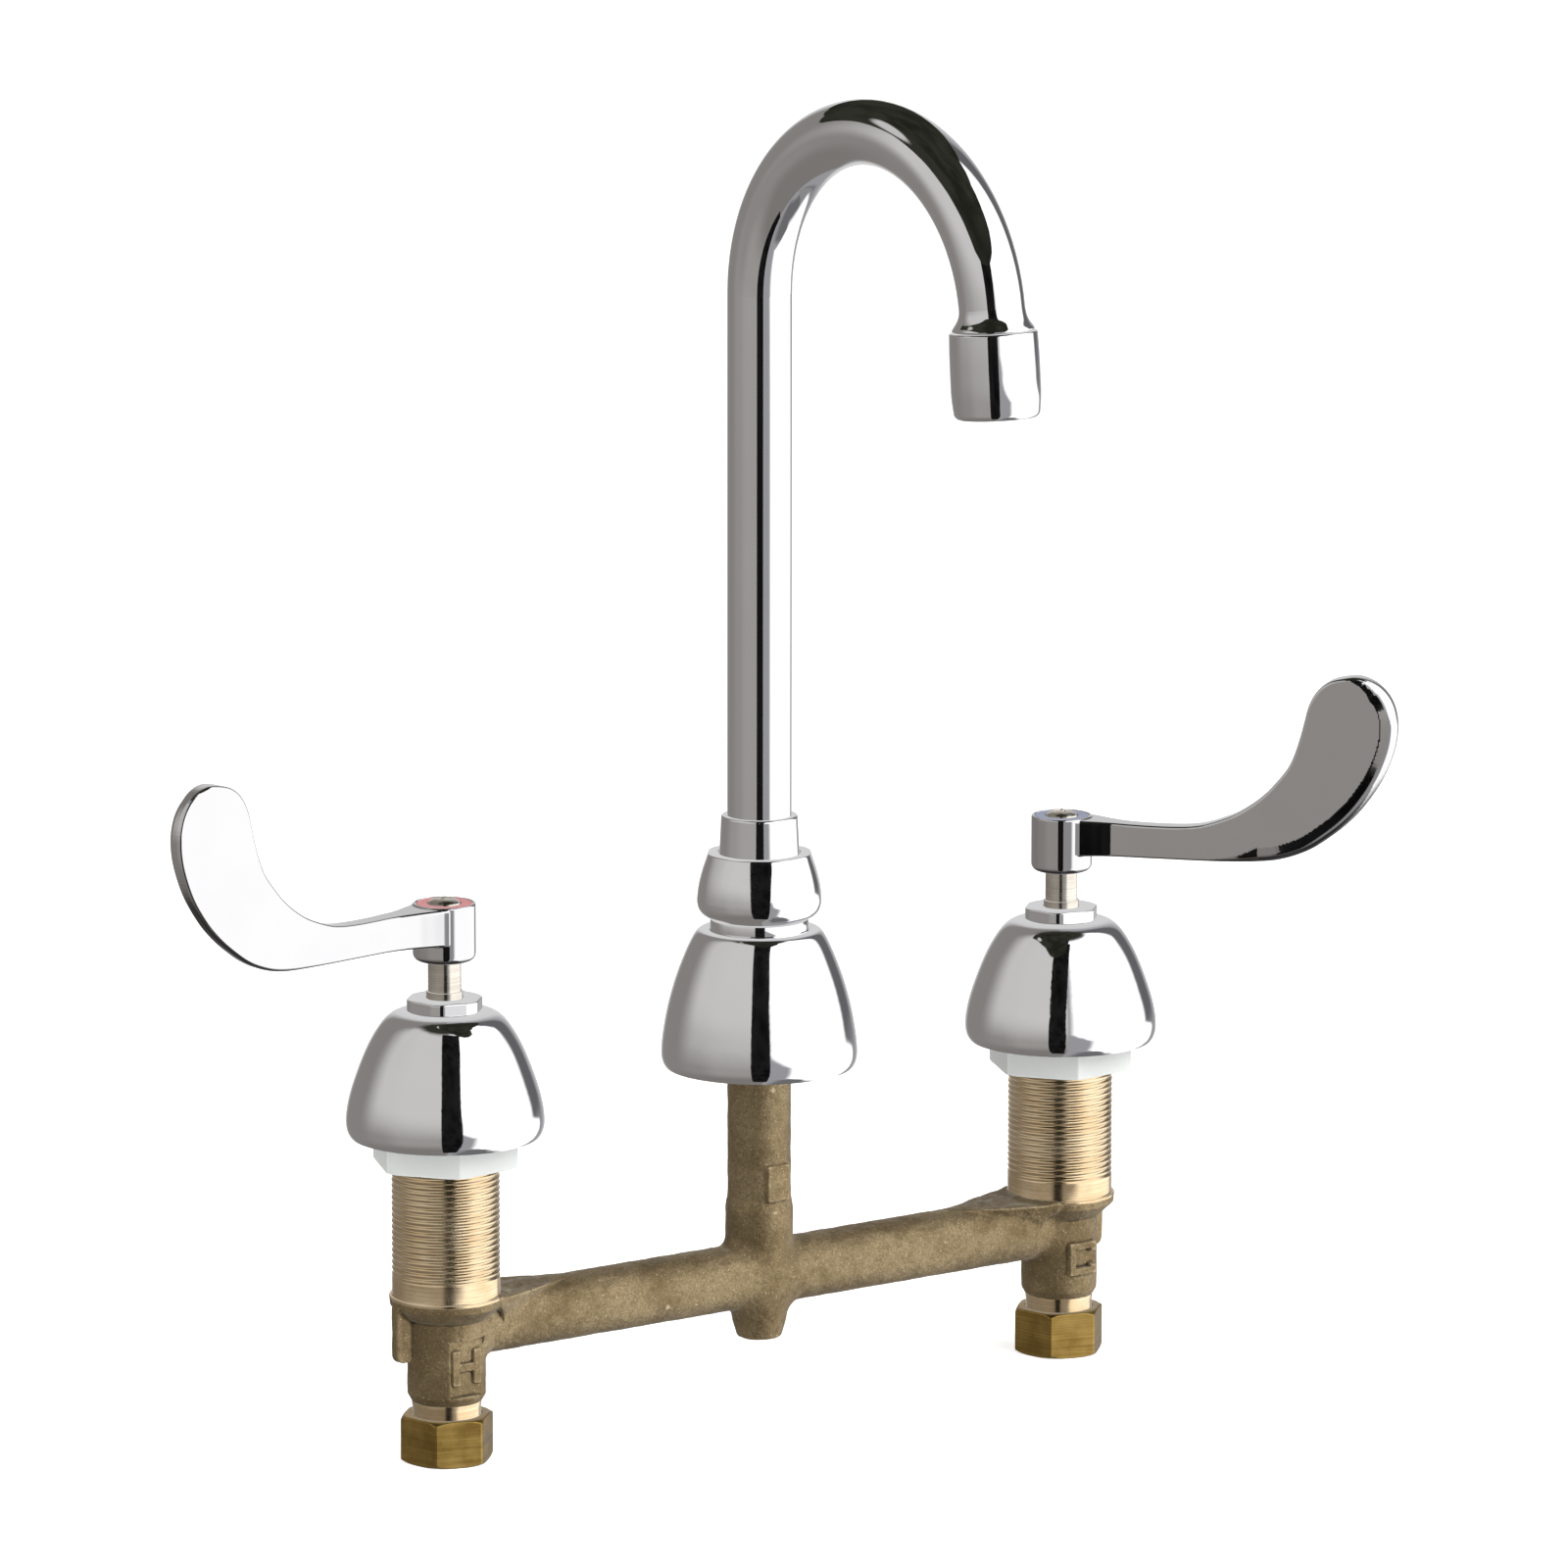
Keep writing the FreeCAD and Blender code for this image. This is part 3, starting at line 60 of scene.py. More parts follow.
# ------------------------------------------------------------------ view
PSI, PITCH = math.radians(35.68), math.radians(11.13)
look = Vector((math.sin(PSI) * math.cos(PITCH), math.cos(PSI) * math.cos(PITCH), -math.sin(PITCH)))
right = Vector((math.cos(PSI), -math.sin(PSI), 0.0))
up = right.cross(look)
ROLL = math.radians(0.06)
cam_x = right * math.cos(ROLL) + up * math.sin(ROLL)
cam_y = up * math.cos(ROLL) - right * math.sin(ROLL)
eye = (right * 6.585 + up * 80.9 - look * 2802.0) * MM
camera_data = bpy.data.cameras.new("view")
camera_data.sensor_width = 36.0
camera_data.lens = 36.0 * 10629.0 / 1600.0
camera_data.clip_start, camera_data.clip_end = 0.05, 60.0
camera = bpy.data.objects.new("view", camera_data)
camera.matrix_world = Matrix.Translation(eye) @ Matrix((cam_x, cam_y, -look)).transposed().to_4x4()
bpy.context.scene.collection.objects.link(camera)
bpy.context.scene.camera = camera


# ------------------------------------------------------------------ node helpers
class Net:
    """A few short calls for building a node tree."""

    def __init__(self, tree):
        self.t = tree

    def node(self, kind, **props):
        n = self.t.nodes.new(kind)
        for k, v in props.items():
            setattr(n, k, v)
        return n

    def link(self, a, b):
        self.t.links.new(a, b)

    def put(self, socket, value):
        if isinstance(value, bpy.types.NodeSocket):
            self.link(value, socket)
        elif isinstance(value, (tuple, list)) and len(value) == 3 and socket.type == "RGBA":
            socket.default_value = (*value, 1.0)
        else:
            socket.default_value = value

    def math(self, op, a, b=0.0, clamp=False):
        n = self.node("ShaderNodeMath", operation=op, use_clamp=clamp)
        self.put(n.inputs[0], a)
        self.put(n.inputs[1], b)
        return n.outputs[0]

    def ramp(self, value, low, high, to_low=0.0, to_high=1.0, smooth=True):
        n = self.node("ShaderNodeMapRange", interpolation_type="SMOOTHSTEP" if smooth else "LINEAR")
        self.put(n.inputs["Value"], value)
        for name, v in (("From Min", low), ("From Max", high), ("To Min", to_low), ("To Max", to_high)):
            self.put(n.inputs[name], v)
        return n.outputs["Result"]

    def mix(self, fac, a, b):
        n = self.node("ShaderNodeMix", data_type="RGBA")
        self.put(n.inputs["Factor"], fac)
        self.put(n.inputs["A"], a)
        self.put(n.inputs["B"], b)
        return n.outputs["Result"]

    def where(self):
        return self.node("ShaderNodeTexCoord").outputs["Object"]

    def scaled(self, vector, scale):
        n = self.node("ShaderNodeMapping")
        self.put(n.inputs["Vector"], vector)
        n.inputs["Scale"].default_value = scale
        return n.outputs["Vector"]

    def noise(self, vector, scale, detail=2.0, roughness=0.5, distortion=0.0):
        n = self.node("ShaderNodeTexNoise")
        self.put(n.inputs["Vector"], vector)
        n.inputs["Scale"].default_value = scale
        n.inputs["Detail"].default_value = detail
        n.inputs["Roughness"].default_value = roughness
        n.inputs["Distortion"].default_value = distortion
        return n.outputs["Fac"]

    def cells(self, vector, scale):
        n = self.node("ShaderNodeTexVoronoi")
        self.put(n.inputs["Vector"], vector)
        n.inputs["Scale"].default_value = scale
        return n.outputs["Distance"]

    def bump(self, height, distance, strength=1.0, normal=None):
        n = self.node("ShaderNodeBump")
        n.inputs["Strength"].default_value = strength
        n.inputs["Distance"].default_value = distance
        self.put(n.inputs["Height"], height)
        if normal is not None:
            self.put(n.inputs["Normal"], normal)
        return n.outputs["Normal"]


def new_material(name, metallic, roughness=0.5):
    m = bpy.data.materials.new(name)
    m.use_nodes = True
    m.node_tree.nodes.clear()
    net = Net(m.node_tree)
    out = net.node("ShaderNodeOutputMaterial")
    skin = net.node("ShaderNodeBsdfPrincipled")
    net.link(skin.outputs[0], out.inputs[0])
    skin.inputs["Metallic"].default_value = metallic
    skin.inputs["Roughness"].default_value = roughness
    return m, net, skin


def make_chrome(name, dark, light, painted_underside_shade=1.0):
    m, net, skin = new_material(name, 1.0)
    at = net.where()
    soft = net.noise(at, 55.0, 3.0)
    fine = net.noise(at, 900.0, 3.0, 0.6)
    tone = net.mix(soft, dark, light)
    if painted_underside_shade < 1.0:
        # painted shade: where the surface faces down, the base colour is darkened to stand in for the dark below that
        # the undersides see
        up = net.node("ShaderNodeSeparateXYZ")
        net.put(up.inputs[0], net.node("ShaderNodeNewGeometry").outputs["Normal"])
        tone = net.mix(net.ramp(up.outputs["Z"], -0.55, -0.30), tuple(painted_underside_shade * c for c in dark), tone)
    net.put(skin.inputs["Base Color"], tone)
    haze = net.math("ADD", net.math("MULTIPLY", soft, 0.6), net.math("MULTIPLY", fine, 0.4))
    net.put(skin.inputs["Roughness"], net.ramp(haze, 0.3, 0.75, 0.028, 0.075))
    net.put(skin.inputs["Normal"], net.bump(net.noise(at, 95.0, 1.0), 0.00003, 0.12))
    return m


def make_cast():
    m, net, skin = new_material("sand_cast_brass", 0.82)
    at = net.where()
    grain = net.noise(at, 1500.0, 4.0, 0.62)
    lumps = net.noise(at, 420.0, 3.0, 0.55)
    patches = net.noise(at, 60.0, 4.0, 0.6, 0.4)
    # painted glints: small bright specks in the base colour stand in for highlights
    painted_glint = net.ramp(net.noise(at, 2300.0, 2.0, 0.5), 0.64, 0.76)
    tone = net.mix(net.ramp(patches, 0.32, 0.68), (0.205, 0.148, 0.074), (0.34, 0.262, 0.146))
    tone = net.mix(net.ramp(grain, 0.36, 0.66), net.mix(0.5, tone, (0.12, 0.085, 0.04)), tone)
    tone = net.mix(painted_glint, tone, (0.68, 0.56, 0.36))
    # painted shade darkens the creases; the edges are lightened, part rubbed wear and part painted highlight
    crease = net.node("ShaderNodeNewGeometry").outputs["Pointiness"]
    tone = net.mix(net.ramp(crease, 0.485, 0.44), tone, (0.055, 0.038, 0.018))
    tone = net.mix(net.ramp(crease, 0.52, 0.60, 0.0, 0.7), tone, (0.62, 0.50, 0.31))
    net.put(skin.inputs["Base Color"], tone)
    net.put(skin.inputs["Roughness"], net.ramp(lumps, 0.3, 0.7, 0.62, 0.40))
    rough = net.bump(lumps, 0.00030, 0.9)
    net.put(skin.inputs["Normal"], net.bump(grain, 0.00015, 0.8, rough))
    return m


def make_machined(name, dark, light, low, high, rings=2600.0):
    """Turned metal: fine tool marks run round the vertical axis."""
    m, net, skin = new_material(name, 1.0)
    at = net.where()
    marks = net.noise(net.scaled(at, (0.02, 0.02, 1.0)), rings, 3.0, 0.6)
    patches = net.noise(at, 120.0, 3.0, 0.6)
    stain = net.ramp(net.noise(at, 35.0, 4.0, 0.7), 0.55, 0.75)
    tone = net.mix(net.ramp(net.math("ADD", net.math("MULTIPLY", marks, 0.5), net.math("MULTIPLY", patches, 0.5)), 0.35, 0.65), dark, light)
    tone = net.mix(net.math("MULTIPLY", stain, 0.35), tone, tuple(c * 0.62 for c in dark))
    net.put(skin.inputs["Base Color"], tone)
    net.put(skin.inputs["Roughness"], net.ramp(patches, 0.3, 0.7, low, high))
    net.put(skin.inputs["Normal"], net.bump(marks, 0.00002, 0.6))
    return m


def make_plastic(name, dark, light, roughness, sub=0.0):
    m, net, skin = new_material(name, 0.0)
    at = net.where()
    fine = net.noise(at, 700.0, 3.0)
    soft = net.noise(at, 45.0, 3.0)
    net.put(skin.inputs["Base Color"], net.mix(soft, dark, light))
    net.put(skin.inputs["Roughness"], net.ramp(fine, 0.3, 0.7, roughness - 0.05, roughness + 0.07))
    net.put(skin.inputs["Normal"], net.bump(fine, 0.00003, 0.4))
    if sub:
        skin.inputs["Subsurface Weight"].default_value = sub
        skin.inputs["Subsurface Radius"].default_value = (0.004, 0.004, 0.0036)
        skin.inputs["Subsurface Scale"].default_value = 0.6
    return m


CHROME = make_chrome("chrome_plate", (0.79, 0.79, 0.80), (0.85, 0.85, 0.855))
# painted shade: the handle chrome is a darker copy of the same plate, and its undersides are darkened further
SHADED_HANDLE_CHROME = make_chrome("chrome_plate_handles_painted_shade", (0.635, 0.625, 0.625), (0.685, 0.68, 0.68), 0.16)
CAST = make_cast()
GOLD = make_machined("machined_brass", (0.66, 0.48, 0.27), (0.87, 0.70, 0.46), 0.17, 0.28)
NUT_BRASS = make_machined("nut_brass", (0.255, 0.158, 0.038), (0.425, 0.285, 0.085), 0.22, 0.38, 1800.0)
NICKEL = make_machined("nickel_plate", (0.60, 0.55, 0.47), (0.78, 0.74, 0.66), 0.14, 0.26)
STEEL = make_machined("stainless", (0.50, 0.48, 0.45), (0.66, 0.64, 0.60), 0.22, 0.36)
NYLON = make_plastic("white_nylon", (0.47, 0.49, 0.48), (0.54, 0.555, 0.545), 0.34, 0.15)
RED = make_plastic("red_index", (0.50, 0.07, 0.08), (0.62, 0.12, 0.12), 0.16)
BLUE = make_plastic("blue_index", (0.09, 0.11, 0.22), (0.13, 0.16, 0.30), 0.12)
RUBBER = make_plastic("black_rubber", (0.012, 0.012, 0.012), (0.022, 0.022, 0.021), 0.6)
ACETAL = make_plastic("grey_acetal", (0.42, 0.44, 0.46), (0.52, 0.54, 0.56), 0.42)
CERAMIC = make_plastic("ceramic", (0.80, 0.79, 0.75), (0.87, 0.86, 0.83), 0.2)

BY_SLOT = {
    "cast_brass": CAST, "machined_brass": GOLD, "nut_brass": NUT_BRASS, "chrome": CHROME, "nickel": NICKEL,
    "screw_steel": NICKEL, "clip_steel": NICKEL, "screen_steel": STEEL, "white_plastic": NYLON, "red_index": RED,
    "blue_index": BLUE, "seal_rubber": RUBBER, "grey_plastic": ACETAL, "ceramic": CERAMIC,
}
slot_of = {s["node"]: s["material_slot"] for s in frame["record"]["subparts"]}
for name, obj in nodes.items():
    if not obj.material_slots:
        obj.data.materials.append(BY_SLOT[slot_of[name]])
    for s in obj.material_slots:
        s.material = BY_SLOT[slot_of[name]]


# ------------------------------------------------------------------ signed distance tools, in millimetres
def union(a, b, r=0.0):
    """Union with a hollow fillet of radius r."""
    if not r:
        return np.minimum(a, b)
    return np.maximum(r, np.minimum(a, b)) - np.hypot(np.maximum(r - a, 0.0), np.maximum(r - b, 0.0))


def inter(a, b, r=0.0):
    """Intersection with its edge rounded to radius r."""
    return -union(-a, -b, r)


def polygon_distance(pts, x, y):
    """Signed distance to a closed polygon, negative inside, and how far round it the nearest point lies."""
    pts = np.asarray(pts, float)
    shape = np.broadcast(x, y).shape
    x = np.broadcast_to(x, shape).ravel()
    y = np.broadcast_to(y, shape).ravel()
    best = np.full(x.shape, 1e18)
    along = np.zeros(x.shape)
    inside = np.zeros(x.shape, bool)
    run = 0.0
    for a, b in zip(pts, np.roll(pts, -1, axis=0)):
        ex, ey = b - a
        ln = ex * ex + ey * ey
        px, py = x - a[0], y - a[1]
        t = np.clip((px * ex + py * ey) / ln, 0.0, 1.0)
        dx, dy = px - ex * t, py - ey * t
        d = dx * dx + dy * dy
        closer = d < best
        best = np.where(closer, d, best)
        along = np.where(closer, run + t * math.sqrt(ln), along)
        cross = (a[1] > y) != (b[1] > y)
        with np.errstate(divide="ignore", invalid="ignore"):
            hit = x < (b[0] - a[0]) * (y - a[1]) / (b[1] - a[1] if b[1] != a[1] else 1e-12) + a[0]
        inside ^= cross & hit
        run += math.sqrt(ln)
    d = np.sqrt(best)
    return np.where(inside, -d, d).reshape(shape), along.reshape(shape)


def net_mesh(name, field, lo, hi, step, project=3):
    """The zero surface of a distance field as a quad mesh whose normals are the field's own."""
    ax = [np.arange(lo[i], hi[i] + step * 0.5, step) for i in range(3)]
    grid = np.empty([len(a) for a in ax], np.float32)
    block = 24
    for i in range(0, len(ax[0]), block):
        grid[i : i + block] = field(ax[0][i : i + block, None, None], ax[1][None, :, None], ax[2][None, None, :])
    inside = grid < 0
    corners = [(i, j, k) for i in (0, 1) for j in (0, 1) for k in (0, 1)]
    n = [s - 1 for s in grid.shape]
    count = np.zeros(n, np.uint8)
    for i, j, k in corners:
        count += inside[i : i + n[0], j : j + n[1], k : k + n[2]]
    cells = np.argwhere((count > 0) & (count < 8))
    index = np.full(n, -1, np.int32)
    index[tuple(cells.T)] = np.arange(len(cells))
    total = np.zeros((len(cells), 3))
    hits = np.zeros(len(cells))
    for a in corners:
        for axis in range(3):
            if a[axis]:
                continue
            b = list(a)
            b[axis] = 1
            va = grid[tuple((cells + a).T)].astype(float)
            vb = grid[tuple((cells + b).T)].astype(float)
            cut = (va < 0) != (vb < 0)
            t = np.where(cut, va / np.where(cut, va - vb, 1.0), 0.0)
            p = np.repeat(np.asarray(a, float)[None], len(cells), 0)
            p[:, axis] += t
            total += p * cut[:, None]
            hits += cut
    co = (cells + total / hits[:, None]) * step + np.array([a[0] for a in ax])
    faces = []
    for axis in range(3):
        u, v = [(1, 2), (2, 0), (0, 1)][axis]
        s0 = [slice(None)] * 3
        s1 = [slice(None)] * 3
        s0[axis], s1[axis] = slice(0, -1), slice(1, None)
        change = inside[tuple(s0)] != inside[tuple(s1)]
        e = np.argwhere(change)
        keep = (e[:, u] > 0) & (e[:, v] > 0) & (e[:, u] < grid.shape[u] - 1) & (e[:, v] < grid.shape[v] - 1)
        e = e[keep]
        first_in = inside[tuple(e.T)]
        ring = []
        for du, dv in ((-1, -1), (0, -1), (0, 0), (-1, 0)):
            c = e.copy()
            c[:, u] += du
            c[:, v] += dv
            ring.append(index[tuple(c.T)])
        ring = np.stack(ring, 1)
        ring[~first_in] = ring[~first_in][:, ::-1]
        faces.append(ring)
    faces = np.concatenate(faces)
    h = step * 0.08

    def slope(p):
        g = np.empty_like(p)
        for axis in range(3):
            q = p.copy()
            q[:, axis] += h
            f1 = field(q[:, 0], q[:, 1], q[:, 2])
            q[:, axis] -= 2 * h
            g[:, axis] = (f1 - field(q[:, 0], q[:, 1], q[:, 2])) / (2 * h)
        return g

    for _ in range(project):
        g = slope(co)
        d = field(co[:, 0], co[:, 1], co[:, 2])
        move = (d / np.maximum((g * g).sum(1), 0.25))[:, None] * g
        size = np.linalg.norm(move, axis=1, keepdims=True)
        co -= move * np.minimum(1.0, 0.5 * step / np.maximum(size, 1e-9))
    g = slope(co)
    normals = g / np.maximum(np.linalg.norm(g, axis=1, keepdims=True), 1e-9)
    return mesh_object(name, co, faces, normals)


def mesh_object(name, co, faces, normals=None):
    """A mesh object from millimetre points; faces all have the same number of corners."""
    faces = np.asarray(faces, np.int32)
    mesh = bpy.data.meshes.new(name)
    side = faces.shape[1]
    mesh.vertices.add(len(co))
    mesh.vertices.foreach_set("co", (np.asarray(co, float) * MM).astype(np.float32).ravel())
    mesh.loops.add(faces.size)
    mesh.loops.foreach_set("vertex_index", faces.ravel())
    mesh.polygons.add(len(faces))
    mesh.polygons.foreach_set("loop_start", np.arange(0, faces.size, side, dtype=np.int32))
    mesh.polygons.foreach_set("use_smooth", np.ones(len(faces), bool))
    mesh.update(calc_edges=True)
    mesh.validate()
    if normals is not None:
        mesh.normals_split_custom_set_from_vertices([tuple(v) for v in normals])
    obj = bpy.data.objects.new(name, mesh)
    bpy.context.scene.collection.objects.link(obj)
    return obj


def turned_piece(name, outline, x=0.0, y=0.0, count=128, closed=True):
    """A lathe piece about the vertical through (x, y). Sharp corners of the outline stay sharp."""
    pts = np.asarray(outline, float)
    m = len(pts)
    ang = np.linspace(0, 2 * math.pi, count, endpoint=False)
    co = np.empty((m, count, 3))
    co[:, :, 0] = x + pts[:, :1] * np.cos(ang)
    co[:, :, 1] = y + pts[:, :1] * np.sin(ang)
    co[:, :, 2] = pts[:, 1:]
    rows = [(i, (i + 1) % m) for i in range(m if closed else m - 1)]
    faces = []
    j = np.arange(count)
    k = (j + 1) % count
    for a, b in rows:
        faces.append(np.stack([a * count + j, a * count + k, b * count + k, b * count + j], 1))
    obj = mesh_object(name, co.reshape(-1, 3), np.concatenate(faces))
    obj.data.set_sharp_from_angle(angle=math.radians(32))
    return obj


def dress(obj, material, body, slot, *replaced):
    obj.data.materials.clear()
    obj.data.materials.append(material)
    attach(obj, body)
    if replaced:
        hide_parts(*replaced)
    return obj


# ------------------------------------------------------------------ handles
HUB_TOP = 62.4
BLADE = [
    (38.0, -10.3), (47.0, -10.28), (55.5, -10.1), (61.0, -9.3), (66.0, -7.7), (70.2, -5.7), (74.7, -2.6), (79.0, 0.9), (83.0, 5.0),
    (86.5, 9.7), (89.2, 14.2), (91.3, 19.2), (92.6, 23.7), (93.1, 28.0), (92.8, 32.0), (91.55, 35.8), (89.25, 39.0), (86.05, 41.3),
    (82.3, 42.4), (78.5, 42.0), (75.0, 41.0), (72.3, 39.2), (70.3, 36.7), (68.85, 33.5), (67.9, 29.8), (67.0, 26.2), (66.2, 23.4),
    (65.15, 20.3), (63.8, 17.2), (62.1, 14.7), (60.3, 12.5), (58.3, 10.2), (55.8, 7.8), (52.7, 5.4), (49.0, 3.1), (44.5, 1.2),
    (40.0, -0.25), (36.6, -0.8), (33.0, -1.05), (27.5, -1.15), (20.5, -1.05),
]
FACE, REAR = 1.5, -4.3


def smooth_curve(points, parts, closed=False):
    """A Catmull-Rom curve through the points."""
    p = np.asarray(points, float)
    n = len(p)
    out = []
    for i in range(n if closed else n - 1):
        if closed:
            p0, p1, p2, p3 = p[i - 1], p[i], p[(i + 1) % n], p[(i + 2) % n]
        else:
            p1, p2 = p[i], p[i + 1]
            p0 = p[i - 1] if i else 2 * p1 - p2
            p3 = p[i + 2] if i + 2 < n else 2 * p2 - p1
        d1 = max(np.linalg.norm(p1 - p0), 1e-9) ** 0.5
        d2 = max(np.linalg.norm(p2 - p1), 1e-9) ** 0.5
        d3 = max(np.linalg.norm(p3 - p2), 1e-9) ** 0.5
        m1 = (p2 - p1) + d2 * ((p1 - p0) / d1 - (p2 - p0) / (d1 + d2))
        m2 = (p2 - p1) + d2 * ((p3 - p2) / d3 - (p3 - p1) / (d2 + d3))
        for t in np.linspace(0, 1, parts, endpoint=False):
            out.append((2 * t**3 - 3 * t**2 + 1) * p1 + (t**3 - 2 * t**2 + t) * m1 + (-2 * t**3 + 3 * t**2) * p2 + (t**3 - t**2) * m2)
    if not closed:
        out.append(p[-1])
    return np.array(out)


blade_curve = smooth_curve([(22.0, -10.3), (30.0, -10.3)] + BLADE + [(14.0, -0.8), (7.5, -0.45), (0.0, -0.15)], 4)
blade_outline = np.vstack([[(0.0, -10.3)], blade_curve[1:]])
seg = np.linalg.norm(np.diff(blade_outline, axis=0), axis=1)
outline_run = np.concatenate([[0], np.cumsum(seg)])
tip_at = outline_run[np.argmin(np.hypot(blade_outline[:, 0] - 80.0, blade_outline[:, 1] - 42.2))]
paddle_at = outline_run[np.argmin(np.hypot(blade_outline[:, 0] - 55.5, blade_outline[:, 1] + 10.1))]
# plan of the arm: it narrows from the hub to the blade on both sides
front_line = smooth_curve([(30.0, FACE), (25.5, FACE), (20.5, 1.62), (17.0, 2.16), (13.5, 3.25), (9.5, 4.87), (4.69, 6.91), (-0.1, 8.94)], 6)[:-6]
rear_line = smooth_curve([(30.0, REAR), (24.0, REAR), (18.6, REAR), (15.0, -4.32), (12.6, -4.62), (9.0, -5.45), (5.5, -6.28), (2.0, -7.12)], 6)[:-6]
front_region = np.vstack([[(110.0, FACE)], front_line, [(3.0, 6.4), (3.0, -25.0), (110.0, -25.0)]])
rear_region = np.vstack([[(110.0, REAR)], rear_line, [(3.0, -6.4), (3.0, 25.0), (110.0, 25.0)]])


def lever_field(x, y, z):
    """The handle in its own frame: valve axis at x = y = 0, the arm along +x, z from the deck."""
    h = z - HUB_TOP
    flat, run = polygon_distance(blade_outline, x, h)
    face_side = polygon_distance(front_region, x, y)[0]
    rear_side = polygon_distance(rear_region, x, y)[0]
    # along its outer edge the back of the paddle falls away and is then rounded over
    roll = np.clip((run - paddle_at + 20.0) / 20.0, 0, 1) ** 2 * np.clip((tip_at + 3.0 - run) / 12.0, 0, 1)
    fall = math.radians(12.0)
    rear_side = np.maximum(rear_side, rear_side * math.cos(fall) + (flat + 4.3 * roll) * math.sin(fall))
    back = 0.7 + 1.5 * roll
    rounded = np.hypot(np.maximum(flat + back, 0), np.maximum(rear_side + back, 0)) + np.minimum(np.maximum(flat, rear_side) + back, 0) - back
    front = 0.9 + 0.5 * roll
    eased = np.hypot(np.maximum(flat + front, 0), np.maximum(face_side + front, 0)) + np.minimum(np.maximum(flat, face_side) + front, 0) - front
    blade = np.maximum(eased, rounded)
    rho = np.hypot(x, y)
    hub = inter(rho - 8.35, z - HUB_TOP, 0.45)
    hub = inter(hub, 47.0 - z, 2.0)
    body = union(hub, blade, 0.35)
    seat = inter(rho - 7.55, (HUB_TOP - 0.8) - z, 0.1)
    body = inter(body, -seat, 0.18)
    socket = inter(rho - 4.6, z - 48.4, 0.2)
    return inter(body, -socket, 0.3)


def turned_copy(source, name, angle, x):
    """The source mesh turned about its own vertical and moved to x (mm)."""
    mesh = source.data
    co = np.empty(len(mesh.vertices) * 3, np.float32)
    mesh.vertices.foreach_get("co", co)
    co = co.reshape(-1, 3) / MM
    nor = np.empty(len(mesh.vertices) * 3, np.float32)
    mesh.vertices.foreach_get("normal", nor)
    corner = np.empty(len(mesh.loops) * 3, np.float32)
    mesh.corner_normals.foreach_get("vector", corner)
    vi = np.empty(len(mesh.loops), np.int32)
    mesh.loops.foreach_get("vertex_index", vi)
    nor = nor.reshape(-1, 3)
    nor[vi] = corner.reshape(-1, 3)
    a = math.radians(angle)
    turn = np.array([[math.cos(a), -math.sin(a), 0], [math.sin(a), math.cos(a), 0], [0, 0, 1]])
    out = co @ turn.T
    out[:, 0] += x
    faces = vi.reshape(-1, 4)
    return mesh_object(name, out, faces, nor @ turn.T)


SIDES = {"hot": (-HALF, 188.9), "cold": (HALF, -49.35)}
pattern = net_mesh("lever_pattern", lever_field, (-9.2, -9.2, 46.2), (94.6, 9.2, 106.0), 0.36)
for side, (x, angle) in SIDES.items():
    lever = turned_copy(pattern, side + "_blade_handle", angle, x)
    dress(lever, SHADED_HANDLE_CHROME, side + "_handle", "chrome", side + "_lever")
bpy.data.objects.remove(pattern)


# ------------------------------------------------------------------ casting below the deck
tower_line = [(0, -71.4), (8.9, -71.4), (9.8, -69.9), (9.8, -49.0), (11.4, -48.1), (14.3, -45.4), (14.45, -44.0), (0, -44.0)]
post_line = [(0, -68.4), (5.2, -68.4), (6.2, -65.0), (7.2, -60.0), (8.1, -52.0), (8.15, -33.6), (7.55, -30.4), (7.55, 29.4), (0, 29.4)]
web_line = [(92.0, 12.0), (88.5, 11.6), (84.8, 10.3), (79.0, 8.3), (73.5, 6.0), (67.5, 3.0), (63.0, 0.6), (62.4, 0.0), (63.0, -0.6), (67.5, -3.0),
            (73.5, -6.0), (79.0, -8.3), (84.8, -10.3), (88.5, -11.6), (92.0, -12.0)]


def bars(x, z, boxes, r=0.25):
    """Rectangles (x0, z0, x1, z1) joined into one flat sign."""
    d = None
    for x0, z0, x1, z1 in boxes:
        b = inter(np.maximum(x0 - x, x - x1), np.maximum(z0 - z, z - z1), r)
        d = b if d is None else np.minimum(d, b)
    return d


H_BARS = [(-4.5, -4.75, -2.1, 4.75), (2.1, -4.75, 4.5, 4.75), (-3.0, -1.15, 3.0, 1.15)]
C_BARS = [(-4.4, -4.6, -2.4, 4.6), (-4.4, 2.6, 4.4, 4.6), (-4.4, -4.6, 4.4, -2.6), (2.6, 1.7, 4.4, 4.6), (2.6, -4.6, 4.4, -1.7)]


def unevenness(x, y, z):
    """The slow waviness of a sand mould, about a tenth of a millimetre."""
    return (
        np.sin(x * 0.71 + 1.3 * np.sin(y * 0.53 + 0.4) + 0.9) * np.sin(z * 0.83 + 1.1 * np.sin(x * 0.37))
        + 0.7 * np.sin(y * 1.17 + z * 0.61 + 2.1 * np.sin(x * 0.29 + 1.7))
        + 0.5 * np.sin(x * 1.9 + z * 1.3 + 0.6) * np.sin(y * 1.6 - z * 1.1)
    ) * 0.045


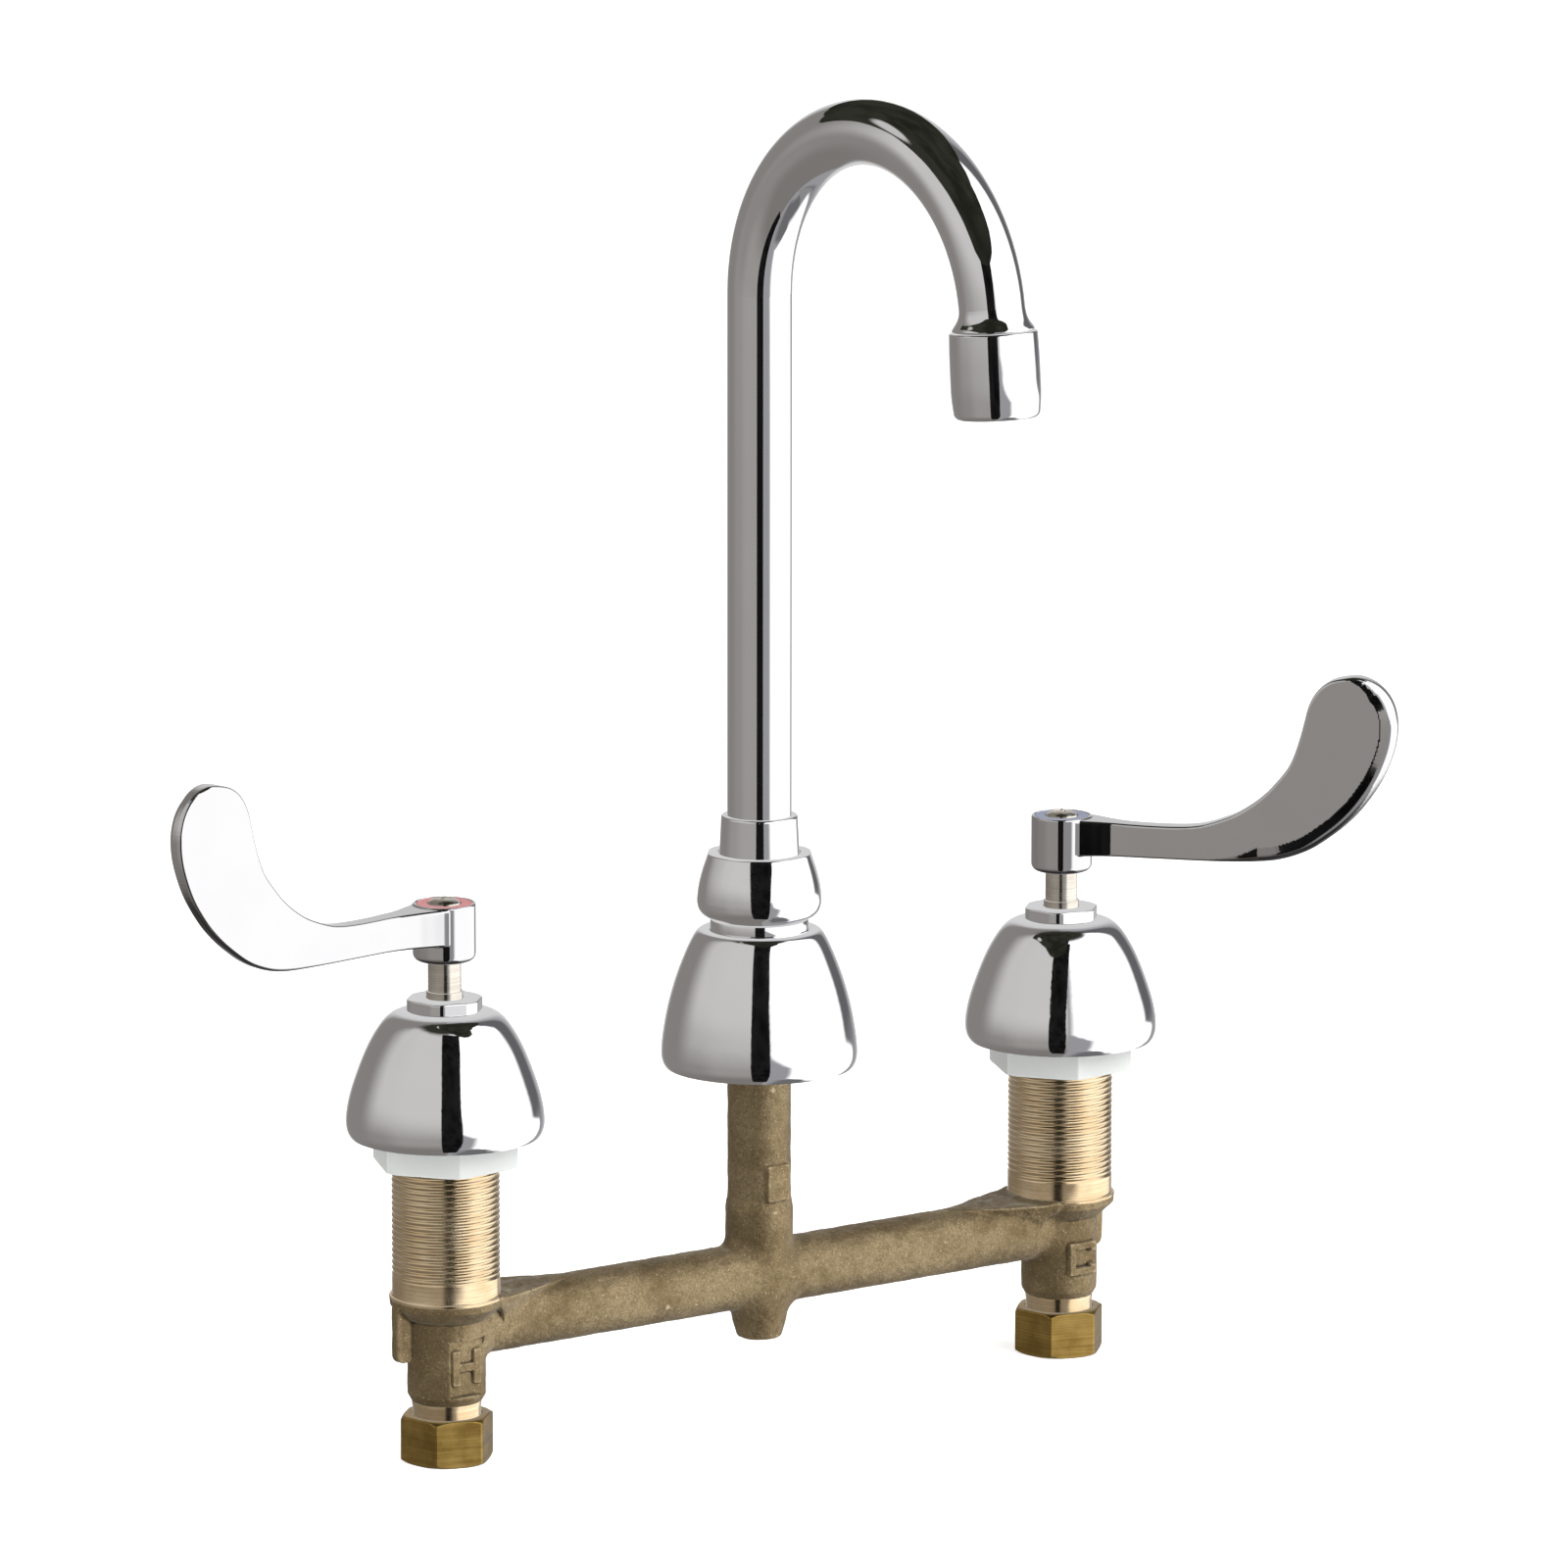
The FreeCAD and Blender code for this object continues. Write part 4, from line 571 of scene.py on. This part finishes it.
def casting_field(x, y, z):
    side = np.sign(x) + (x == 0)
    ax = np.abs(x)
    tx = ax - HALF
    rho = np.hypot(tx, y)
    tower = polygon_distance(tower_line, rho, z)[0] - 0.6
    post = polygon_distance(post_line, np.hypot(x, y), z)[0] - 1.0
    bridge = np.maximum(np.hypot(y, z + 52.0) - 8.8, ax - HALF)
    body = union(bridge, post, 3.2)
    web = polygon_distance(web_line, ax, y)[0]
    web = inter(web + 0.42 * np.maximum(-43.45 - z, 0.0), z + 43.45, 0.45)
    web = np.maximum(web, -54.0 - z)
    body = union(body, web, 0.8)
    body = union(body, tower, 2.4)
    rib = inter(np.maximum(tx - 15.4, 8.0 - tx), np.maximum(-60.5 - z, z + 44.0), 2.3)
    rib = inter(rib, np.abs(y - 1.75) - 1.5, 0.5)
    body = union(body, rib, 1.0)
    # flats and raised letters on the front
    cold = side > 0
    flat_y = np.where(cold, -10.35, -9.0)
    flat = np.maximum(np.maximum(np.abs(tx) - 5.4, np.abs(z + 61.5) - 7.6), y - flat_y)
    body = np.maximum(body, -np.where(cold, 1.0, flat))
    face = np.where(cold, -11.15, -9.85)
    sign = np.where(cold, bars(x - HALF, z + 60.3, C_BARS), bars(x + HALF, z + 61.3, H_BARS))
    sign = inter(sign, np.maximum(face - y, y + 6.0), 0.3)
    body = union(body, sign, 0.25)
    hollow = bars(x - HALF, z + 60.3, [(-2.4, -2.6, 2.6, 2.6), (2.4, -1.7, 6.5, 1.7)])
    hollow = np.maximum(hollow, y + 9.2)
    body = np.maximum(body, -np.where(cold, hollow, 1.0))
    pad = bars(x, z + 25.5, [(-3.5, -5.0, 3.5, 5.0)], 0.8)
    pad = inter(pad, np.maximum(-9.25 - y, y + 5.0), 0.4)
    body = union(body, pad, 0.6)
    body = body + unevenness(x, y, z)
    # bores, so that the inlets are open from below
    bore = np.maximum(rho - 6.45, -84.0 - z)
    bore = np.maximum(bore, z + 58.0)
    return np.maximum(body, -bore)


casting = net_mesh("rough_casting", casting_field, (-118.8, -16.2, -73.2), (118.8, 16.2, 31.6), 0.55, 2)
dress(casting, CAST, "valve_base", "cast_brass", "body_casting")

# machined shank with a true helical thread, and machined inlet neck
PITCH_MM = 25.4 / 16
for side, (x, angle) in SIDES.items():
    per = 8
    count = 168
    low, high = -38.1, 16.0
    ks = np.arange(int((low - 2 - 0) / PITCH_MM * per), int((high + 4) / PITCH_MM * per))
    th = np.linspace(0, 2 * math.pi, count + 1)
    z = (ks[:, None] / per + th[None, :] / (2 * math.pi)) * PITCH_MM
    phase = (ks % per) / per
    shape = np.array([0.0, 0.0, 0.10, 0.42, 0.62, 0.62, 0.42, 0.10])[ks % per]
    z = np.clip(z, low, high)
    fade = np.clip((z - low) / (PITCH_MM * 0.8), 0, 1) * np.clip((high - z) / (PITCH_MM * 0.6), 0, 1)
    r = 14.31 - shape[:, None] * np.where(fade > 0, np.minimum(1, fade * 1.6), 0)
    co = np.stack([x + r * np.cos(th), r * np.sin(th) + 0 * z, z], -1)
    rows, cols = co.shape[:2]
    i = np.arange(rows - 1)[:, None] * cols + np.arange(cols - 1)[None, :]
    faces = np.stack([i, i + 1, i + 1 + cols, i + cols], -1).reshape(-1, 4)
    p = co.reshape(-1, 3)
    q = p[faces]
    area = np.linalg.norm(np.cross(q[:, 2] - q[:, 0], q[:, 3] - q[:, 1]), axis=1)
    faces = faces[area > 1e-4]
    thread = mesh_object(side + "_shank_thread", p, faces)
    thread.data.set_sharp_from_angle(angle=math.radians(60))
    dress(thread, GOLD, "valve_base", "machined_brass", "body_casting")
    band = turned_piece(
        side + "_shank_band",
        [(14.2, -43.9), (15.0, -43.9), (15.12, -43.75), (15.12, -43.2), (15.0, -43.05), (14.55, -43.0), (14.36, -42.8), (14.31, -42.5), (14.31, -38.5), (14.31, -38.05), (14.0, -38.05)],
        x=x, count=168,
    )
    dress(band, GOLD, "valve_base", "machined_brass", "body_casting")
    top = turned_piece(
        side + "_shank_top",
        [(14.31, 15.2), (14.31, 15.6), (13.7, 16.0), (9.4, 16.0), (9.4, 5.6), (9.9, 5.6), (9.9, 15.0)],
        x=x, count=128,
    )
    dress(top, GOLD, "valve_base", "machined_brass", "body_casting")
    neck = turned_piece(
        side + "_inlet_neck",
        [(6.45, -78.0), (6.45, -81.1), (7.9, -82.5), (8.6, -82.5), (9.1, -82.0), (9.1, -73.3), (9.22, -73.0), (9.22, -71.9), (8.0, -71.5),
         (5.5, -71.5), (5.5, -77.5), (6.3, -77.5)],
        x=x, count=128,
    )
    dress(neck, GOLD, "valve_base", "machined_brass", "body_casting")


# ------------------------------------------------------------------ nuts
def hexagon(x, y, flat, turn, soft=0.22):
    """Distance to a hexagon with the given half width across flats, and a corner at the turn angle."""
    d = None
    for k in range(6):
        a = math.radians(turn + 30 + 60 * k)
        e = x * math.cos(a) + y * math.sin(a) - flat
        d = e if d is None else inter(d, e, soft)
    return d


def nut(name, x, flat, turn, low, high, bore, top_r=None, foot_r=None, slope=0.52, edge=0.22, step=0.3, soft=0.22):
    def field(px, py, pz):
        qx = px - x
        rho = np.hypot(qx, py)
        d = hexagon(qx, py, flat, turn, soft)
        if top_r:
            c = math.hypot(1, slope)
            d = inter(d, ((rho - top_r) * slope + (pz - high)) / c, 0.18)
        if foot_r:
            c = math.hypot(1, slope)
            d = inter(d, ((rho - foot_r) * slope + (low - pz)) / c, 0.18)
        d = inter(d, np.maximum(pz - high, low - pz), edge)
        return inter(d, -bore(rho, pz), 0.2)

    r = flat / math.cos(math.radians(30)) + 0.8
    return net_mesh(name, field, (x - r, -r, low - 0.8), (x + r, r, high + 0.8), step)


for side, (x, angle) in SIDES.items():
    cap = nut(side + "_cap_hexagon", x, 9.5, -15.7, 33.4, 37.0, lambda rho, z: union(rho - 4.95, np.maximum(rho - 8.0, z - 36.0)), 9.7, 9.5, 0.6, 0.4, 0.24, 2.2)
    dress(cap, CHROME, "valve_base", "chrome", side + "_cap_nut")
    white = nut(side + "_deck_nut", x, 17.6, 7.0, -7.9, 3.6, lambda rho, z: rho - 14.4, 19.0, 19.4, 0.5, 0.5, 0.42)
    dress(white, NYLON, "valve_base", "white_plastic", side + "_shank_nut")
    supply = nut(
        side + "_supply_hexagon", x, 11.1, -17.0, -88.2, -75.5,
        lambda rho, z: union(rho - 6.45, np.maximum(rho - 9.25, -85.2 - z)), 11.3, 11.3, 0.58, 0.3, 0.3,
    )
    dress(supply, NUT_BRASS, "valve_base", "nut_brass", side + "_supply_nut")


dome_line = smooth_curve(
    [(13.3, 46.0), (14.0, 46.5), (15.5, 47.5), (16.45, 48.8), (16.9, 50.5), (16.85, 52.8), (16.45, 55.8), (15.5, 59.7), (14.3, 63.4), (14.05, 64.3)], 5
)
dome_side = np.vstack([dome_line, [(0, 66.0), (0, 44.0), (12.0, 44.0)]])


def dome_nut_field(x, y, z):
    """A barrel whose eight shallow flats widen towards the top."""
    rho = np.hypot(x, y)
    side = polygon_distance(dome_side, rho, z)[0]
    reach = np.interp(z, dome_line[:, 1], dome_line[:, 0])
    share = np.interp(z, [46.0, 50.5, 57.0, 63.0], [0.9975, 0.9968, 0.9865, 0.9755])
    d = side
    for k in range(8):
        a = math.radians(7.3 + 45 * k)
        d = inter(d, x * math.cos(a) + y * math.sin(a) - reach * share, 0.5)
    d = inter(d, np.maximum(z - 64.0, 46.3 - z), 0.35)
    bore = union(rho - 11.05, np.maximum(rho - 12.0, z - 61.4))
    return inter(d, -bore, 0.25)


dome = net_mesh("spout_dome_nut", dome_nut_field, (-17.6, -17.6, 45.4), (17.6, 17.6, 64.8), 0.3)
dress(dome, CHROME, "valve_base", "chrome", "spout_coupling_nut")
adapter = turned_piece(
    "spout_base_ring",
    [(11.8, 18.3), (11.8, 42.3), (13.45, 42.3), (13.45, 43.1), (13.25, 43.35), (13.25, 45.6), (13.17, 45.86), (12.95, 45.95), (11.8, 46.0), (11.8, 57.6), (11.2, 58.2),
     (8.65, 58.2), (8.65, 46.6), (6.2, 46.6), (6.2, 30.1), (8.61, 30.1), (8.61, 18.0), (11.5, 18.0)],
    count=160,
)
dress(adapter, CHROME, "valve_base", "chrome", "spout_adapter")
# the photograph's own lighting kept the parts out of each other's reflections
for obj in bpy.data.objects:
    if obj.type == "MESH":
        obj.visible_glossy = False


# ------------------------------------------------------------------ studio
def make_world():
    world = bpy.data.worlds.new("studio")
    bpy.context.scene.world = world
    world.use_nodes = True
    world.node_tree.nodes.clear()
    net = Net(world.node_tree)
    out = net.node("ShaderNodeOutputWorld")
    back = net.node("ShaderNodeBackground")
    net.link(back.outputs[0], out.inputs[0])
    way = net.node("ShaderNodeTexCoord").outputs["Generated"]

    def dot(v):
        n = net.node("ShaderNodeVectorMath", operation="DOT_PRODUCT")
        net.link(way, n.inputs[0])
        n.inputs[1].default_value = v
        return n.outputs["Value"]

    front = dot((-math.sin(PSI), -math.cos(PSI), 0.0))
    side = dot((math.cos(PSI), -math.sin(PSI), 0.0))
    height = dot((0.0, 0.0, 1.0))
    az = net.math("MULTIPLY", net.math("ARCTAN2", side, front), 180 / math.pi)
    el = net.math("MULTIPLY", net.math("ARCSINE", height), 180 / math.pi)

    def band(value, low, high, soft):
        """1 between low and high, falling to 0 over soft degrees outside."""
        soft_low, soft_high = soft if isinstance(soft, tuple) else (soft, soft)
        a = net.ramp(value, low - soft_low, low)
        b = net.ramp(value, high, high + soft_high, 1.0, 0.0)
        return net.math("MULTIPLY", a, b)

    # left wall: brighter towards the camera and higher up, darker far round to the back
    left = net.math("MULTIPLY", az, -1.0)
    tone = net.mix(net.ramp(el, -14, 16), (0.365, 0.35, 0.335), (0.66, 0.65, 0.64))
    tone = net.mix(net.ramp(left, 48, 78), tone, net.mix(net.ramp(el, -14, 14), (0.30, 0.285, 0.275), (0.64, 0.63, 0.62)))
    tone = net.mix(net.ramp(left, 84, 118), tone, (0.265, 0.25, 0.24))
    tone = net.mix(net.ramp(el, -20, -48), tone, (0.23, 0.215, 0.205))
    # right of the camera: a cool grey gap, then the big white panel
    tone = net.mix(band(az, 9, 200, (2, 1)), tone, (0.36, 0.36, 0.375))
    edge = net.math("MAXIMUM", net.ramp(el, -9, 1, 38, 13, smooth=False), net.ramp(el, -32, -54, 10, 80, smooth=False))
    low = net.math("MULTIPLY", band(az, 40, 150, (25, 10)), band(el, -76, -50, (8, 6)))
    tone = net.mix(low, tone, (0.17, 0.17, 0.175))
    tone = net.mix(band(az, 121, 148, (6, 6)), tone, net.mix(net.ramp(el, -10, -3), (0.30, 0.30, 0.31), (0.14, 0.14, 0.145)))
    start = net.ramp(net.math("SUBTRACT", az, edge), -5, 6)
    end = net.ramp(net.math("SUBTRACT", az, net.ramp(el, -10, -4, 140, 121)), -2, 7, 1.0, 0.0)
    panel = net.math("MULTIPLY", start, end)
    panel = net.math("MULTIPLY", panel, band(el, -52, 62, (10, 8)))
    tone = net.mix(panel, tone, (1.5, 1.5, 1.52))
    # the pale backdrop behind the object, seen at grazing angles
    far = net.ramp(net.math("ABSOLUTE", az), 152, 172)
    tone = net.mix(net.math("MULTIPLY", far, band(el, -30, 40, (12, 20))), tone, (0.72, 0.72, 0.725))
    # dark ceiling
    tone = net.mix(net.ramp(el, 60, 72), tone, (0.035, 0.036, 0.028))
    net.put(back.inputs["Color"], tone)
    back.inputs["Strength"].default_value = 1.0
    return world


make_world()

floor_z = -88.25
n = 96
rings = [0.0, 0.3, 0.8, 2.0, 5.0, 12.0, 24.0]
co = [(0.0, 0.0, floor_z)]
for r in rings[1:]:
    for k in range(n):
        a = 2 * math.pi * k / n
        co.append((r * 1000 * math.cos(a), r * 1000 * math.sin(a), floor_z))
mesh = bpy.data.meshes.new("floor")
faces = [(0, 1 + k, 1 + (k + 1) % n) for k in range(n)]
for i in range(len(rings) - 2):
    a, b = 1 + i * n, 1 + (i + 1) * n
    faces += [(a + k, b + k, b + (k + 1) % n, a + (k + 1) % n) for k in range(n)]
mesh.from_pydata([tuple(c * MM for c in p) for p in co], [], faces)
mesh.update()
floor = bpy.data.objects.new("floor", mesh)
bpy.context.scene.collection.objects.link(floor)
m, net, skin = new_material("pale_floor", 0.0, 0.7)
at = net.where()
net.put(skin.inputs["Base Color"], net.mix(net.noise(at, 3.0, 3.0), (0.90, 0.90, 0.895), (0.93, 0.93, 0.925)))
skin.inputs["Emission Color"].default_value = (1.0, 1.0, 1.0, 1.0)
skin.inputs["Emission Strength"].default_value = 0.62
floor.data.materials.append(m)
floor.visible_glossy = False


def glow(name, low, high, spot=None):
    """An unlit card that only shows in reflections."""
    m = bpy.data.materials.new(name)
    m.use_nodes = True
    m.node_tree.nodes.clear()
    net = Net(m.node_tree)
    out = net.node("ShaderNodeOutputMaterial")
    skin = net.node("ShaderNodeEmission")
    net.link(skin.outputs[0], out.inputs[0])
    at = net.node("ShaderNodeNewGeometry").outputs["Position"]
    tone = net.mix(net.ramp(net.noise(at, 9.0, 3.0), 0.35, 0.65), low, high)
    if spot:
        place, reach, bright = spot
        gap = net.node("ShaderNodeVectorMath", operation="DISTANCE")
        net.link(at, gap.inputs[0])
        gap.inputs[1].default_value = place
        tone = net.mix(net.ramp(gap.outputs["Value"], reach, reach * 0.6), tone, bright)
    net.put(skin.inputs["Color"], tone)
    return m


def card(name, co, faces, material):
    mesh = bpy.data.meshes.new(name)
    mesh.from_pydata([tuple(c) for c in co], [], faces)
    mesh.update()
    obj = bpy.data.objects.new(name, mesh)
    obj.data.materials.append(material)
    bpy.context.scene.collection.objects.link(obj)
    obj.visible_camera = False
    obj.visible_diffuse = False
    obj.visible_shadow = False
    obj.visible_transmission = False
    obj.visible_volume_scatter = False
    return obj


flat_front = Vector((-math.sin(PSI), -math.cos(PSI), 0.0))
# the dark gap that the camera looks through
gap_at = flat_front * 0.65 + right * 0.008
rows, strips = [], []
for z, w0, w1 in ((-1.1, -0.115, 0.135), (-0.5, -0.115, 0.135), (-0.14, -0.115, 0.138), (0.25, -0.118, 0.14), (1.3, -0.15, 0.40)):
    rows += [gap_at + right * w0 + Vector((0, 0, z)), gap_at + right * w1 + Vector((0, 0, z))]
for k in range(4):
    strips.append((2 * k, 2 * k + 1, 2 * k + 3, 2 * k + 2))
card("camera_gap", rows, strips, glow("gap_dark", (0.004, 0.004, 0.004), (0.012, 0.012, 0.012)))
# the dark overhead hood: its lower rim, as height angles seen from the crown of the gooseneck
RIM = [(-180, 12), (-150, 22), (-132, 22), (-118, 14), (-104, 24), (-85, 32), (-60, 32), (-40, 27), (-25, 19), (-12, 7), (0, 4), (20, 5), (36, 13), (48, 25),
       (58, 42), (72, 55), (110, 58), (135, 46), (155, 28), (168, 14), (180, 12)]
HOOD = 0.155
hood_at = right * 0.028 + flat_front * 0.039 + Vector((0, 0, 0.27))
count = 120
co, faces = [], []
for k in range(count):
    az = -180 + 360 * k / count
    el = np.interp(az, [p[0] for p in RIM], [p[1] for p in RIM])
    way = flat_front * math.cos(math.radians(az)) + right * math.sin(math.radians(az))
    co.append(hood_at + way * HOOD + Vector((0, 0, HOOD * math.tan(math.radians(el)))))
    co.append(hood_at + way * HOOD + Vector((0, 0, 0.30)))
top = len(co)
co.append(hood_at + Vector((0, 0, 0.38)))
for k in range(count):
    a, b = 2 * k, 2 * ((k + 1) % count)
    faces += [(a, b, b + 1, a + 1), (a + 1, b + 1, top)]
lamp = hood_at + (flat_front * math.cos(math.radians(-92)) + right * math.sin(math.radians(-92))) * HOOD + Vector((0, 0, 0.15))
card("dark_hood", co, faces, glow("hood_dark", (0.016, 0.017, 0.012), (0.034, 0.035, 0.026), (lamp, 0.055, (0.62, 0.61, 0.60))))


def panel_light(name, place, aim, width, height, power, colour=(1, 1, 1)):
    data = bpy.data.lights.new(name, "AREA")
    data.shape = "RECTANGLE"
    data.size, data.size_y = width, height
    data.energy = power
    data.color = colour
    obj = bpy.data.objects.new(name, data)
    obj.location = place
    obj.rotation_mode = "QUATERNION"
    obj.rotation_quaternion = (Vector(aim) - Vector(place)).to_track_quat("-Z", "Y")
    obj.visible_glossy = False
    obj.visible_camera = False
    bpy.context.scene.collection.objects.link(obj)
    return obj


panel_light("key", tuple(right * 1.3 - look * 0.9 + up * 1.0), (0, 0, 0.05), 1.0, 1.2, 26.0, (1.0, 0.985, 0.96))
panel_light("fill", tuple(right * -1.4 - look * 1.0 + up * 0.5), (0, 0, 0.05), 1.0, 1.2, 8.0, (0.97, 0.98, 1.0))

scene = bpy.context.scene
scene.view_settings.view_transform = "Standard"
scene.view_settings.look = "None"
